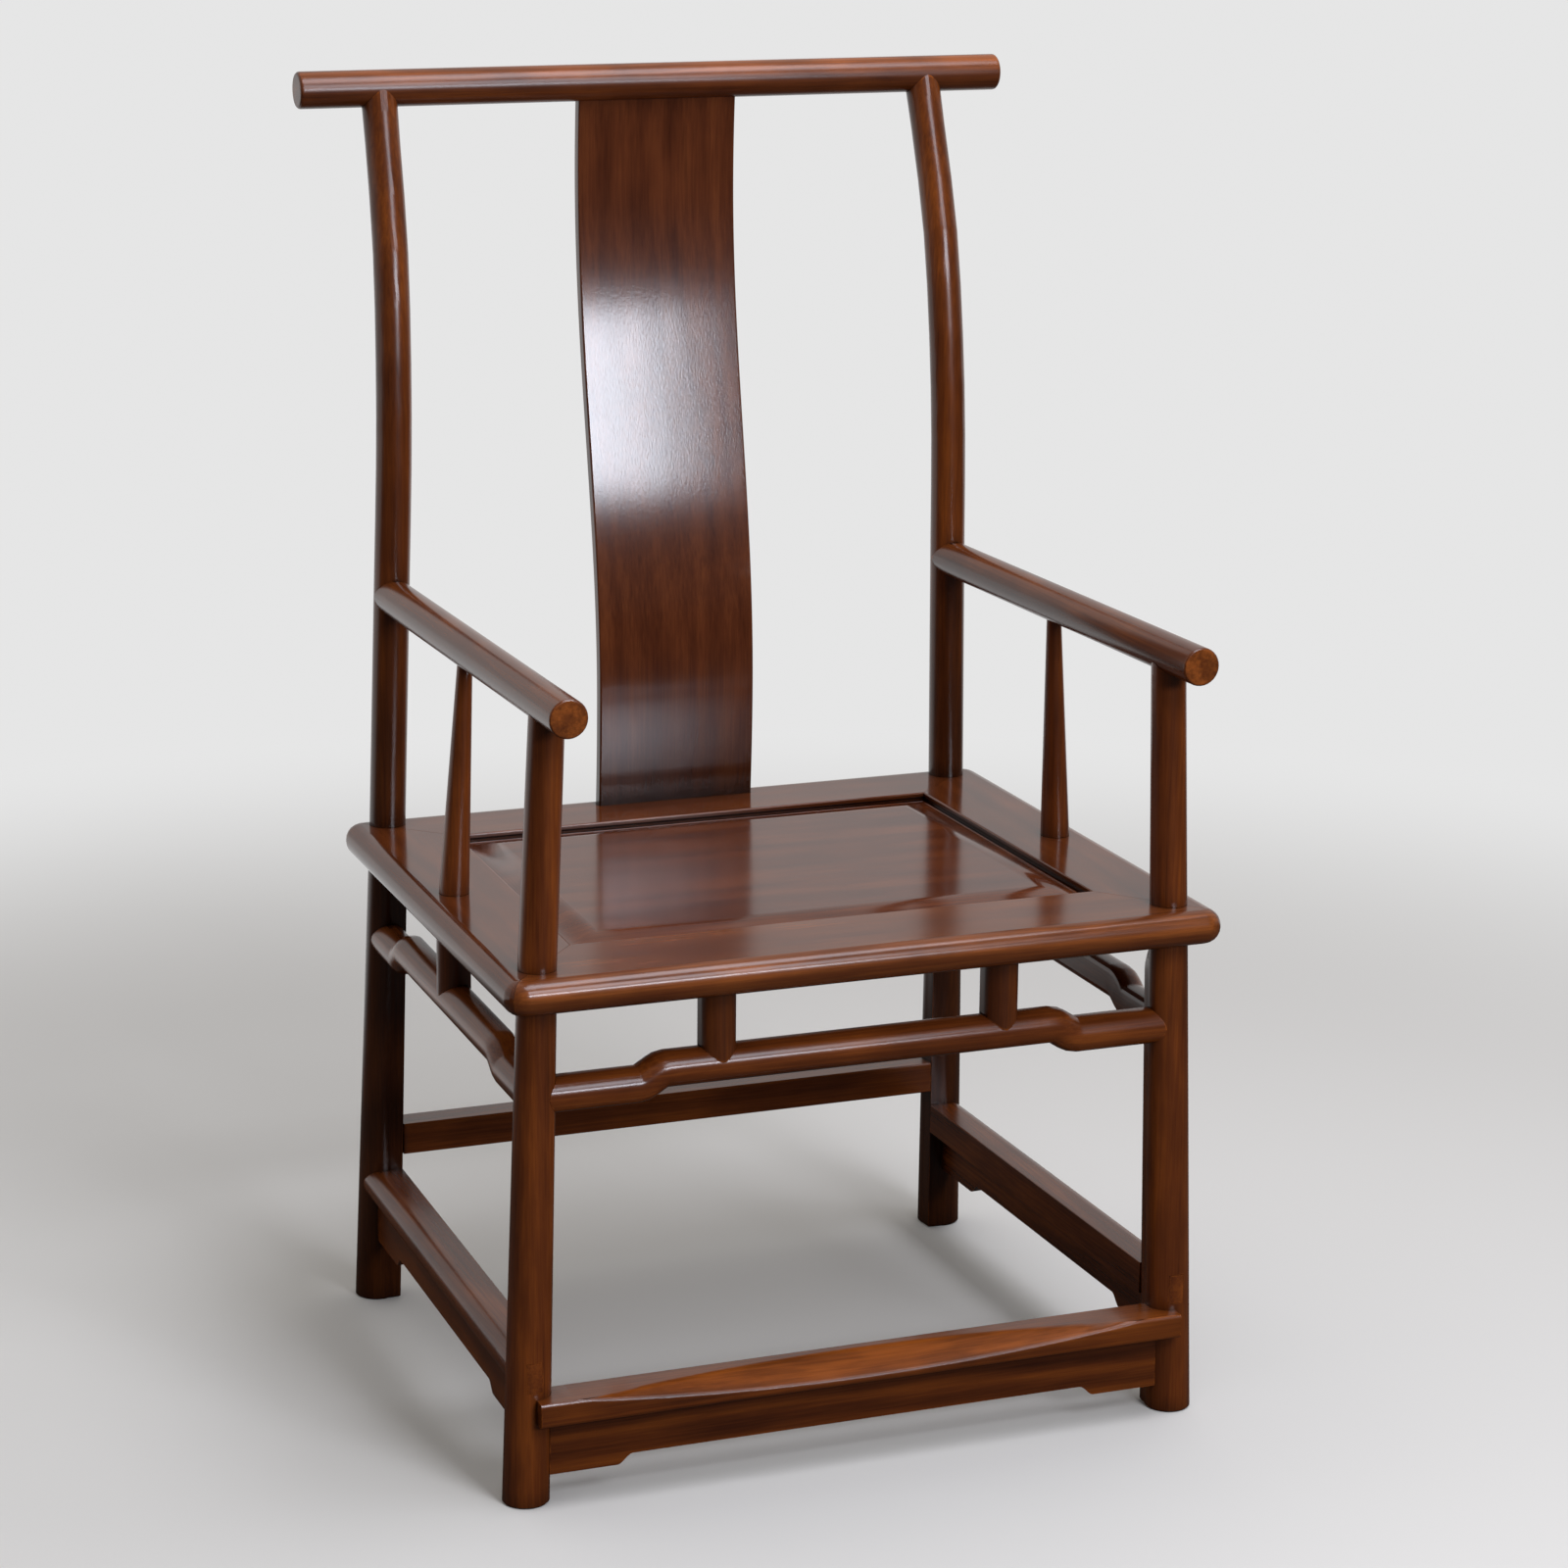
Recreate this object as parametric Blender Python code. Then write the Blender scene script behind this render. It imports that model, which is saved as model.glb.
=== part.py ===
"""Ming style yoke-back armchair, built up from its separate wooden pieces.

Metres, +Z up, +X to the sitter's left hand, +Y to the back. The origin lies on the floor
under the middle of the chair. Left and right are as seen from the front. Every right-hand
piece is modelled and cut first, and its left-hand twin is a mirrored copy.
"""
import math

import bmesh
import bpy
from mathutils import Matrix, Vector

for old in list(bpy.data.objects):
    bpy.data.objects.remove(old, do_unlink=True)

# Overall sizes
seat_height = 0.490
crest_height = 1.1866           # axis of the crest rail above the floor
overall_depth = 0.632           # front of the arms to the back of the crest rail
arm_reach = 0.0625              # front of the arms to the axis of the front feet

# Stance: half distances between the axes, and places along the depth
front_foot_half = 0.315
front_seat_half = 0.3006
front_arm_half = 0.2912
rear_foot_half = 0.304
rear_seat_half = 0.2925
rear_crest_half = 0.2752
rear_foot_setback = 0.0316      # axis of the rear feet in front of the crest rail's axis
front_splay = 0.0035            # how far a front leg leans in from foot to seat
rear_splay = 0.0237
front_post_lean = 0.0025        # how far a front post leans forward from seat to arm
rear_arm_height = 0.7155
front_arm_height = 0.725

# Legs and posts
foot_radius = 0.0212
leg_radius = 0.0174
leg_square_share = 0.94         # inner corner of a leg, as a share of its radius
leg_corner_share = 1.27
leg_round_share = 0.70
fade_height = 0.034             # length over which the square corner runs out below the seat
foot_chamfer = 0.0015
waist_radius = 0.0125           # the part of a post inside the seat frame
front_post_radius = 0.0171
front_post_top_radius = 0.0157
rear_post_radius = 0.0174
rear_post_neck_radius = 0.0164
rear_post_head_radius = 0.0170
post_head_length = 0.045
back_rake = 0.0646              # the crest rail's axis behind the posts' foremost point
post_height_shares = (0.0, 0.324, 0.517, 0.660, 0.803, 1.0)
post_rake_shares = (0.14, 0.05, 0.0, 0.085, 0.315, 1.0)

# Crest rail, arms and arm struts
crest_length = 0.708
crest_radius = 0.0174
crest_edge = 0.0035
arm_radius = 0.0174
arm_front_half = 0.2925
arm_edge = 0.0025
strut_base_half = 0.3003
strut_base_y = -0.0038
strut_lean = 0.0077
strut_radius = 0.0139
strut_top_radius = 0.0064
strut_pin_radius = 0.0042
strut_tenon_radius = 0.0065

# Back splat
splat_width = 0.159
splat_thickness = 0.0125
splat_belly_setback = 0.0057    # the splat's foremost line behind that of the posts
splat_curve_depth = 0.0627
splat_height_shares = (0.0, 0.208, 0.53, 0.84, 1.0)
splat_depth_shares = (0.05, 0.0, 0.53, 1.0, 0.945)
splat_arris = 0.0012

# Seat frame and panel
seat_thickness = 0.0315
seat_front_overhang = 0.0406    # outer edge in front of the front feet's axis
seat_rear_overhang = 0.0238     # outer edge behind the rear posts' axis at the seat
seat_front_half = 0.3390
seat_rear_half = 0.3320
seat_corner_radius = 0.019
bevel_round_share = 0.5
bullnose = 0.0145
front_rail_width = 0.1027
rear_rail_width = 0.0871
opening_front_half = 0.2507
opening_rear_half = 0.2415
groove_depth = 0.008
tongue_thickness = 0.005
panel_edge_drop = 0.0085        # sunken edge of the panel below the frame's top
panel_field_drop = 0.0015
panel_under_drop = 0.0165
panel_border_flat = 0.007
panel_border_slope = 0.030
panel_lip = 0.0008
batten_width = 0.026
batten_place = 0.110
batten_dovetail = 0.003
batten_flare = 0.003
batten_rise = 0.0015            # underside of a batten above that of the frame

# Humpback stretchers and their pillars
hump_radius = 0.0162
hump_back = 0.0125              # flat inner face behind the legs' axis
hump_corner = 0.007
hump_low_height = 0.3753
hump_rise = 0.0115
hump_turn = 0.026               # length of each rise
front_hump_inset = 0.107        # leg axis to the middle of the rise
side_hump_inset = 0.085
pillar_radius = 0.0158
pillar_corner = 0.003
front_pillar_half = 0.135
side_pillar_y = 0.002

# Lower stretchers, footrest and aprons
side_bar_top = 0.137
side_bar_height = 0.0305
side_bar_inset = 0.0019         # outer face of the bar behind the legs' outer face
rear_bar_top = 0.183
rear_bar_height = 0.0312
rear_bar_depth = 0.030
footrest_top = 0.1018
footrest_thickness = 0.0228
footrest_depth = 0.0404
footrest_front = 0.0329         # front edge before the axis of the front feet
footrest_half = 0.3103
footrest_round = 0.004
scoop_half = 0.275              # the worn hollow's half length
scoop_reach = 0.029             # how far back it goes at the middle
scoop_fall = 0.0155             # how far it wears the front edge down there
scoop_end_share = 1.05          # the cutter's half length, as a share of the scoop's
apron_thickness = 0.011
apron_tongue = 0.005
front_apron_setback = 0.0219    # front face behind the front edge of the footrest
front_apron_low = 0.0258
front_apron_high = 0.0352
front_apron_step = 0.0655       # leg's inner face to the middle of the step
side_apron_setback = 0.0115     # front face behind the outer face of the bar
side_apron_low = 0.0645
side_apron_high = 0.0745
side_apron_step = 0.076
step_run = 0.014

# Joinery
gap = 0.0003                    # clearance between touching pieces
tenon_thickness = 0.010
tenon_width = 0.013
tenon_depth = 0.0055            # how far a tenon passes the axis of the piece it enters
short_tenon = 0.010
through_tenon_width = 0.014
eased = 0.0012
overrun = 0.05
corner_tenon_length = 0.016
corner_tenon_share = 0.78       # place along the mitre, from the outer corner
slot_depth = 0.008

# Fineness
round_steps = 32
corner_steps = 3
turn_steps = 6
curve_steps = 14
smooth_angle = math.radians(32)

# Places that follow from the sizes
arm_front_y = -overall_depth / 2
crest_y = overall_depth / 2 - crest_radius
front_foot_y = arm_front_y + arm_reach
rear_foot_y = crest_y - rear_foot_setback
front_seat_y = front_foot_y + front_splay
rear_seat_y = rear_foot_y - rear_splay
seat_under = seat_height - seat_thickness
seat_front_y = front_foot_y - seat_front_overhang
seat_rear_y = rear_seat_y + seat_rear_overhang
post_front_y = crest_y - back_rake
post_top_y = front_seat_y - front_post_lean
UP = Vector((0, 0, 1))
ACROSS = Vector((1, 0, 0))
BACK = Vector((0, 1, 0))


def mix(first, second, share):
    return first + (second - first) * share


def smoothstep(share):
    share = min(max(share, 0), 1)
    return share * share * (3 - 2 * share)


def through(places, values, place):
    """Value at a place on a smooth curve through the given values."""
    last = len(places) - 1
    slopes = []
    for index in range(len(places)):
        before, after = max(index - 1, 0), min(index + 1, last)
        slopes.append((values[after] - values[before]) / (places[after] - places[before]))
    index = 0
    while index < last - 1 and place > places[index + 1]:
        index += 1
    step = places[index + 1] - places[index]
    share = (place - places[index]) / step
    start, end = values[index], values[index + 1]
    return (start * (1 + 2 * share) * (1 - share) ** 2
            + slopes[index] * step * share * (1 - share) ** 2
            + end * share ** 2 * (3 - 2 * share)
            + slopes[index + 1] * step * share ** 2 * (share - 1))


def loft(name, sections):
    """Extrude a flat section through a row of like sections into one closed body."""
    bm = bmesh.new()
    tip = bm.faces.new([bm.verts.new(place) for place in sections[0]])
    for index, section in enumerate(sections[1:]):
        grown = bmesh.ops.extrude_face_region(bm, geom=[tip])
        if index:
            bmesh.ops.delete(bm, geom=[tip], context="FACES_ONLY")
        tip = next(item for item in grown["geom"] if isinstance(item, bmesh.types.BMFace))
        for vert, place in zip(tip.verts, section):
            vert.co = place
    bmesh.ops.recalc_face_normals(bm, faces=bm.faces)
    mesh = bpy.data.meshes.new(name)
    bm.to_mesh(mesh)
    bm.free()
    body = bpy.data.objects.new(name, mesh)
    bpy.context.scene.collection.objects.link(body)
    return body


def carve(body, cutter, operation="DIFFERENCE", keep=False):
    """Cut, join or keep the common part of two bodies."""
    step = body.modifiers.new("joint", "BOOLEAN")
    step.operation = operation
    step.solver = "EXACT"
    step.object = cutter
    shaped = bpy.data.meshes.new_from_object(body.evaluated_get(bpy.context.evaluated_depsgraph_get()))
    body.modifiers.remove(step)
    body.data = shaped
    if not keep:
        bpy.data.objects.remove(cutter, do_unlink=True)


def mirrored(body, name):
    """Left-hand twin of a right-hand piece."""
    twin = body.copy()
    twin.data = body.data.copy()
    twin.name = name
    twin.data.transform(Matrix.Scale(-1, 4, ACROSS))
    twin.data.flip_normals()
    bpy.context.scene.collection.objects.link(twin)
    return twin


def carve_both(body, cutter, operation="DIFFERENCE"):
    """Cut a piece that crosses the middle with a right-hand cutter and its mirror image."""
    carve(body, mirrored(cutter, "mirror_cutter"), operation)
    carve(body, cutter, operation)


def box(low, high, extra=0.0):
    """Square block between two corners, larger all round by the extra."""
    low = Vector(low) - Vector((extra, extra, extra))
    high = Vector(high) + Vector((extra, extra, extra))
    section = [(low.x, low.y), (high.x, low.y), (high.x, high.y), (low.x, high.y)]
    return loft("block", [[(x, y, z) for x, y in section] for z in (low.z, high.z)])


def circle(centre, radius, first=ACROSS, second=BACK):
    """Round section in the plane of two directions."""
    return [centre + first * (radius * math.cos(turn)) + second * (radius * math.sin(turn))
            for turn in (math.tau * step / round_steps for step in range(round_steps))]


def rod(name, ends, side, radii, rounding=0.0, extra=0.0):
    """Round bar cut square to the chair's axes, its far end eased by the rounding."""
    start, end = ends
    along = (end - start).normalized()
    stations = [(0.0, radii[0])]
    for step in range(turn_steps // 2 + 1) if rounding else (turn_steps,):
        turn = math.pi * step / turn_steps
        back = rounding * (1 - math.sin(turn))
        stations.append(((end - start).length - back, radii[1] - rounding * (1 - math.cos(turn))))
    return loft(name, [circle(start + along * run, radius + extra, side, UP)
                       for run, radius in stations])


def leg_section(centre, radius, square_share, inward):
    """Round section whose inner corner is nearly square."""
    section = []
    for step in range(round_steps):
        turn = math.tau * step / round_steps
        cos, sin = math.cos(turn), math.sin(turn)
        reach = 1.0
        if cos * inward.x >= 0 and sin * inward.y >= 0:
            square = square_share / max(abs(cos), abs(sin))
            reach = max(reach, min(square, leg_corner_share * square_share / leg_square_share))
        section.append(centre + Vector((cos, sin, 0)) * (radius * reach))
    return section


def rear_axis(height):
    """Axis of the right rear leg and its curved post."""
    if height <= seat_height:
        share = height / seat_height
        return Vector((mix(rear_foot_half, rear_seat_half, share),
                       mix(rear_foot_y, rear_seat_y, share), height))
    share = (height - seat_height) / (crest_height - seat_height)
    rakes = (((rear_seat_y - post_front_y) / back_rake,) + post_rake_shares[1:])
    return Vector((mix(rear_seat_half, rear_crest_half, share),
                   post_front_y + back_rake * through(post_height_shares, rakes, share), height))


def arm_ends():
    rear = rear_axis(rear_arm_height)
    return rear, Vector((arm_front_half, arm_front_y, front_arm_height))


def arm_axis(depth):
    """Point on the right arm's axis at a place along the depth."""
    rear, front = arm_ends()
    return mix(rear, front, (depth - rear.y) / (front.y - rear.y))


def front_axis(height):
    """Axis of the right front leg and post."""
    if height <= seat_height:
        share = height / seat_height
        return Vector((mix(front_foot_half, front_seat_half, share),
                       mix(front_foot_y, front_seat_y, share), height))
    share = (height - seat_height) / (arm_axis(post_top_y).z - seat_height)
    return Vector((mix(front_seat_half, front_arm_half, share),
                   mix(front_seat_y, post_top_y, share), height))


def leg_girth(height):
    return mix(foot_radius, leg_radius, height / seat_height)


def leg_sections(axis, inward, extra):
    """Sections of a leg from the floor to the shoulder under the seat frame."""
    sections = []
    shoulder = seat_under - gap
    fade_start = seat_under - fade_height
    heights = [(0.0, -foot_chamfer), (foot_chamfer, 0.0)]
    heights += [(mix(foot_chamfer, fade_start, share), 0.0) for share in (0.5, 1.0)]
    heights += [(mix(fade_start, shoulder, step / turn_steps), 0.0) for step in range(1, turn_steps + 1)]
    for height, change in heights:
        fade = smoothstep((height - fade_start) / (shoulder - fade_start))
        share = mix(leg_square_share, leg_round_share, fade)
        sections.append(leg_section(axis(height), leg_girth(height) + change + extra, share, inward))
    return sections


def waist_sections(axis, extra):
    """Sections of the part that passes through the seat frame."""
    return [circle(axis(height), waist_radius + extra) for height in (seat_under - gap, seat_height + gap)]


def front_post(name, extra=0.0):
    """Right front leg and post in one length, from the floor to the arm's axis."""
    inward = Vector((-1, 1))
    sections = leg_sections(front_axis, inward, extra) + waist_sections(front_axis, extra)
    sections.append(circle(front_axis(seat_height + gap), front_post_radius + extra))
    sections.append(circle(front_axis(arm_axis(post_top_y).z), front_post_top_radius + extra))
    return loft(name, sections)


def rear_post(name, extra=0.0):
    """Right rear leg and post in one length, from the floor to the crest rail's axis."""
    inward = Vector((-1, -1))
    sections = leg_sections(rear_axis, inward, extra) + waist_sections(rear_axis, extra)
    start = seat_height + gap
    neck = crest_height - post_head_length
    for step in range(curve_steps + 1):
        height = mix(start, crest_height, step / curve_steps)
        ahead = rear_axis(min(height + eased, crest_height)) - rear_axis(height - eased)
        along = ahead.normalized() if step else UP
        side = (ACROSS - along * along.x).normalized()
        radius = mix(rear_post_radius, rear_post_neck_radius, (height - start) / (neck - start))
        if height > neck:
            radius = mix(rear_post_neck_radius, rear_post_head_radius,
                         smoothstep((height - neck) / (crest_height - neck)))
        sections.append(circle(rear_axis(height), radius + extra, side, along.cross(side)))
    return loft(name, sections)


def leg_cheek(axis, away, inward):
    """Cutter that ends a piece flat on a leg's inner face, beside the leg's square corner."""
    sections = []
    for height in (0.0, seat_under):
        centre = axis(height)
        face = away * (leg_girth(height) * leg_square_share + gap)
        near, far = inward * (leg_girth(height) / 2), inward * overrun
        sections.append([centre + face + near, centre + face + far,
                         centre - away * overrun + far, centre - away * overrun + near])
    return loft("cheek", sections)


def crest_ends():
    return (Vector((-crest_length / 2, crest_y, crest_height)),
            Vector((crest_length / 2, crest_y, crest_height)))


def arm(name, extra=0.0):
    rounding = 0.0 if extra else arm_edge
    return rod(name, arm_ends(), ACROSS, (arm_radius, arm_radius), rounding, extra)


class Span:
    """Level run between two leg axes, with its outward side."""

    def __init__(self, start, end, outward):
        self.start = start
        self.along = Vector((end.x - start.x, end.y - start.y, 0))
        self.length = self.along.length
        self.along.normalize()
        self.outward = self.along.cross(UP)
        if self.outward.dot(outward) < 0:
            self.outward = -self.outward

    def at(self, run, out, height):
        flat = self.start + self.along * run + self.outward * out
        return Vector((flat.x, flat.y, height))


def d_section(radius, back, corner, extra):
    """Half-round front and flat back, as (outward, upward) pairs about the centre."""
    section = []
    reach = radius + extra
    for step in range(round_steps // 2 + 1):
        turn = math.pi * step / (round_steps // 2) - math.pi / 2
        section.append((reach * math.cos(turn), reach * math.sin(turn)))
    for sign in (1, -1):
        middle = Vector((corner - back, (radius - corner) * sign))
        for step in range(corner_steps + 1):
            turn = math.pi / 2 * step / corner_steps
            cos, sin = (math.sin(turn), math.cos(turn)) if sign > 0 else (math.cos(turn), math.sin(turn))
            section.append((middle.x - (corner + extra) * cos, middle.y + (corner + extra) * sin * sign))
    return section


def hump_height(run, length, inset):
    """Height of a humpback stretcher's axis along its length."""
    nearer = min(run, length - run)
    return hump_low_height + hump_rise * smoothstep((nearer - inset + hump_turn / 2) / hump_turn)


def hump_stretcher(name, span, inset, extra=0.0):
    """Round-fronted bar that steps up near both ends."""
    rises = [inset - hump_turn / 2 + hump_turn * step / turn_steps for step in range(turn_steps + 1)]
    runs = [0.0] + rises + [span.length - run for run in reversed(rises)] + [span.length]
    sections = []
    for run in runs:
        ahead, behind = run + eased, run - eased
        slope = (hump_height(ahead, span.length, inset) - hump_height(behind, span.length, inset))
        slope = math.atan2(slope, ahead - behind) if 0 < run < span.length else 0.0
        height = hump_height(run, span.length, inset)
        sections.append([span.at(run - up * math.sin(slope), out, height + up * math.cos(slope))
                         for out, up in d_section(hump_radius, hump_back, hump_corner, extra)])
    return loft(name, sections)


def pillar(name, span, run, inset):
    """Short half-round strut between a humpback stretcher and the seat frame."""
    foot = hump_height(run, span.length, inset)
    section = d_section(pillar_radius, hump_back, pillar_corner, 0.0)
    body = loft(name, [[span.at(run + side, out, height) for out, side in section]
                       for height in (foot, seat_under - gap)])
    carve(body, hump_stretcher("cutter", span, inset, gap))
    return body


def post_block(span, run, width, depth, low, high, extra=0.0):
    """Upright tenon on a stretcher's line."""
    section = [(-width, -depth), (width, -depth), (width, depth), (-width, depth)]
    section = [(x / 2 + math.copysign(extra, x), y / 2 + math.copysign(extra, y)) for x, y in section]
    return loft("tenon", [[span.at(run + x, y, height) for x, y in section]
                          for height in (low - extra, high + extra)])


def outline_board(name, span, outline, out, thickness):
    """Flat board cut to an outline of (run, height) points."""
    return loft(name, [[span.at(run, offset, height) for run, height in outline]
                       for offset in (out, out - thickness)])


def stepped_apron_outline(length, inset, low, high, top):
    """Apron whose lower edge steps up by a small curve near each end."""
    points = [(0.0, top), (0.0, low)]
    rise = [(inset - step_run / 2 + step_run * step / turn_steps,
             mix(low, high, smoothstep(step / turn_steps))) for step in range(turn_steps + 1)]
    points += rise
    points += [(length - run, height) for run, height in reversed(rise)]
    points += [(length, low), (length, top)]
    return points


def shrunk_opening(amount):
    """Corners of the seat's opening, moved inward by an amount."""
    front = seat_front_y + front_rail_width
    rear = seat_rear_y - rear_rail_width
    slope = (opening_rear_half - opening_front_half) / (rear - front)
    corners = []
    for depth, side in ((front + amount, -1), (front + amount, 1), (rear - amount, 1), (rear - amount, -1)):
        half = opening_front_half + slope * (depth - front) - amount
        corners.append((side * half, depth))
    return corners


def opening_prism(amount, low, high):
    return loft("opening", [[(x, y, z) for x, y in shrunk_opening(amount)] for z in (low, high)])


# Seat frame: one ring with a bullnose edge, then parted at the mitres
def seat_corner(side, front):
    half = seat_front_half if front else seat_rear_half
    return Vector((side * half, seat_front_y if front else seat_rear_y))


def seat_ring():
    """Outer outline with rounded corners, bevelled to a bullnose, with the panel's opening."""
    outline = []
    for side, front in ((-1, True), (1, True), (1, False), (-1, False)):
        corner = seat_corner(side, front)
        depth_sign = 1 if front else -1
        centre = corner + Vector((-side, depth_sign)) * seat_corner_radius
        first = math.atan2(-depth_sign, 0) if side * depth_sign > 0 else math.atan2(0, side)
        for step in range(turn_steps + 1):
            turn = first + math.pi / 2 * step / turn_steps
            outline.append(centre + Vector((math.cos(turn), math.sin(turn))) * seat_corner_radius)
    ring = loft("seat_ring", [[(p.x, p.y, z) for p in outline] for z in (seat_under, seat_height)])
    bm = bmesh.new()
    bm.from_mesh(ring.data)
    rims = [edge for edge in bm.edges if abs(edge.verts[0].co.z - edge.verts[1].co.z) < gap]
    bmesh.ops.bevel(bm, geom=rims, offset=bullnose, segments=turn_steps,
                     profile=bevel_round_share, affect="EDGES")
    bm.to_mesh(ring.data)
    bm.free()
    carve(ring, opening_prism(0.0, seat_under - overrun, seat_height + overrun))
    groove_top = seat_height - panel_edge_drop
    groove_low = groove_top - tongue_thickness
    carve(ring, opening_prism(-groove_depth, groove_low - gap, groove_top + gap))
    return ring


def mitre_wedge(first, second):
    """Block that keeps one rail of the ring, between the mitres at two corners."""
    outers = [seat_corner(*first), seat_corner(*second)]
    opening = {(-1, True): 0, (1, True): 1, (1, False): 2, (-1, False): 3}
    corners = [Vector(place) for place in shrunk_opening(0.0)]
    inners = [corners[opening[first]], corners[opening[second]]]
    along = (outers[1] - outers[0]).normalized()
    shape = []
    for outer, inner, sign in ((outers[0], inners[0], 1), (outers[1], inners[1], -1)):
        away = (outer - inner).normalized()
        pair = [outer + away * overrun + along * gap * sign, inner - away * overrun + along * gap * sign]
        shape += pair if sign > 0 else reversed(pair)
    return loft("wedge", [[(p.x, p.y, z) for p in shape]
                          for z in (seat_under - overrun, seat_height + overrun)])


def corner_tenon(front, extra=0.0):
    """Tenon of a long rail that enters the side rail across the right mitre."""
    outer = seat_corner(1, front)
    inner = Vector(shrunk_opening(0.0)[1 if front else 2])
    place = mix(outer, inner, corner_tenon_share)
    middle = seat_height - seat_thickness / 2 - tongue_thickness / 2
    low = (place.x - corner_tenon_length, place.y - tenon_thickness / 2, middle - tenon_thickness / 2)
    high = (place.x + corner_tenon_length, place.y + tenon_thickness / 2, middle + tenon_thickness / 2)
    return box(low, high, extra)


def waist_hole(axis):
    """Round hole through the frame for a post."""
    low, high = axis(seat_under), axis(seat_height)
    step = (high - low) * (overrun / seat_thickness)
    return loft("hole", [circle(place, waist_radius + gap) for place in (low - step, high + step)])


def finish(body, colour, roughness):
    """Smooth shading with crisp arrises, and the piece's own lacquered wood."""
    body.data.shade_smooth()
    body.data.set_sharp_from_angle(angle=smooth_angle)
    wood = bpy.data.materials.new(body.name + "_wood")
    wood.use_nodes = True
    shader = wood.node_tree.nodes["Principled BSDF"]
    shader.inputs["Base Color"].default_value = (*colour, 1)
    shader.inputs["Roughness"].default_value = roughness
    shader.inputs["Metallic"].default_value = 0
    body.data.materials.clear()
    body.data.materials.append(wood)
    wood.diffuse_color = (*colour, 1)


# Posts and legs
right_front_post = front_post("right_front_post")
right_rear_post = rear_post("right_rear_post")

# Crest rail, with the posts scribed to its underside
crest_rail = rod("crest_rail", (Vector((0, crest_y, crest_height)), crest_ends()[1]), BACK,
                 (crest_radius, crest_radius), crest_edge)
carve(crest_rail, mirrored(crest_rail, "crest_half"), "UNION")
carve(right_rear_post, rod("cutter", crest_ends(), BACK, (crest_radius, crest_radius), 0.0, gap))
head_low = (rear_crest_half - tenon_width / 2, crest_y - tenon_thickness / 2, crest_height - 2 * crest_radius)
head_high = (rear_crest_half + tenon_width / 2, crest_y + tenon_thickness / 2, crest_height + tenon_depth)
carve(right_rear_post, box(head_low, head_high), "UNION")
carve_both(crest_rail, box(head_low, head_high, gap))

# Arms, scribed to the rear posts and resting on the front posts
right_arm = arm("right_arm")
carve(right_arm, rear_post("cutter", gap))
rear_joint = rear_axis(rear_arm_height)
arm_tenon_low = (rear_joint.x - tenon_thickness / 2, rear_joint.y - 2 * arm_radius,
                 rear_arm_height - tenon_width / 2)
arm_tenon_high = (rear_joint.x + tenon_thickness / 2, rear_joint.y + tenon_depth,
                  rear_arm_height + tenon_width / 2)
carve(right_arm, box(arm_tenon_low, arm_tenon_high), "UNION")
carve(right_rear_post, box(arm_tenon_low, arm_tenon_high, gap))
carve(right_front_post, arm("cutter", gap))
arm_over_post = arm_axis(post_top_y)
post_tenon_low = arm_over_post - Vector((tenon_thickness / 2, tenon_width / 2, 2 * arm_radius))
post_tenon_high = arm_over_post + Vector((tenon_thickness / 2, tenon_width / 2, tenon_depth))
carve(right_front_post, box(post_tenon_low, post_tenon_high), "UNION")
carve(right_arm, box(post_tenon_low, post_tenon_high, gap))

# Arm struts, tapering up from the side rails of the seat
strut_top = arm_axis(strut_base_y - strut_lean)
strut_base = Vector((strut_base_half, strut_base_y, seat_height + gap))
strut_foot = strut_base - UP * short_tenon


def strut_tenon(extra=0.0):
    return loft("tenon", [circle(strut_foot - UP * extra, strut_tenon_radius + extra),
                          circle(strut_base + UP * extra, strut_tenon_radius + extra)])


def strut_pin(extra=0.0):
    top = mix(strut_base, strut_top, 1 + tenon_depth / (strut_top - strut_base).length)
    low = mix(strut_base, strut_top, 1 - 2 * arm_radius / (strut_top - strut_base).length)
    return loft("pin", [circle(low, strut_pin_radius + extra),
                        circle(top + UP * extra, strut_pin_radius + extra)])


right_arm_strut = loft("right_arm_strut", [circle(strut_foot, strut_tenon_radius),
                                           circle(strut_base, strut_tenon_radius),
                                           circle(strut_base, strut_radius),
                                           circle(strut_top, strut_top_radius)])
carve(right_arm_strut, arm("cutter", gap))
carve(right_arm_strut, strut_pin(), "UNION")
carve(right_arm, strut_pin(gap))

# Back splat, a board bent to a long S between the rear rail and the crest rail


def splat_middle(height):
    share = (height - seat_height) / (crest_height - seat_height)
    front = post_front_y + splat_belly_setback
    return front + splat_curve_depth * through(splat_height_shares, splat_depth_shares, share)


def splat_section(height, slope, extra=0.0):
    half = splat_width / 2 + extra
    thick = splat_thickness / 2 + extra
    ease = splat_arris
    points = [(-half + ease, -thick), (half - ease, -thick), (half, -thick + ease), (half, thick - ease),
              (half - ease, thick), (-half + ease, thick), (-half, thick - ease), (-half, -thick + ease)]
    middle = splat_middle(height)
    return [Vector((x, middle + y * math.cos(slope), height - y * math.sin(slope))) for x, y in points]


splat_low = seat_height - slot_depth
splat_high = crest_height - crest_radius + slot_depth
splat_rows = []
for row in range(2 * curve_steps + 1):
    level = mix(splat_low, splat_high, row / (2 * curve_steps))
    lean = math.atan2(splat_middle(level + eased) - splat_middle(level - eased), 2 * eased)
    splat_rows.append(splat_section(level, lean if 0 < row < 2 * curve_steps else 0.0))
back_splat = loft("back_splat", splat_rows)
carve(crest_rail, loft("slot", [splat_section(level, 0.0, gap)
                                for level in (crest_height - overrun, splat_high + gap)]))

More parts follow.
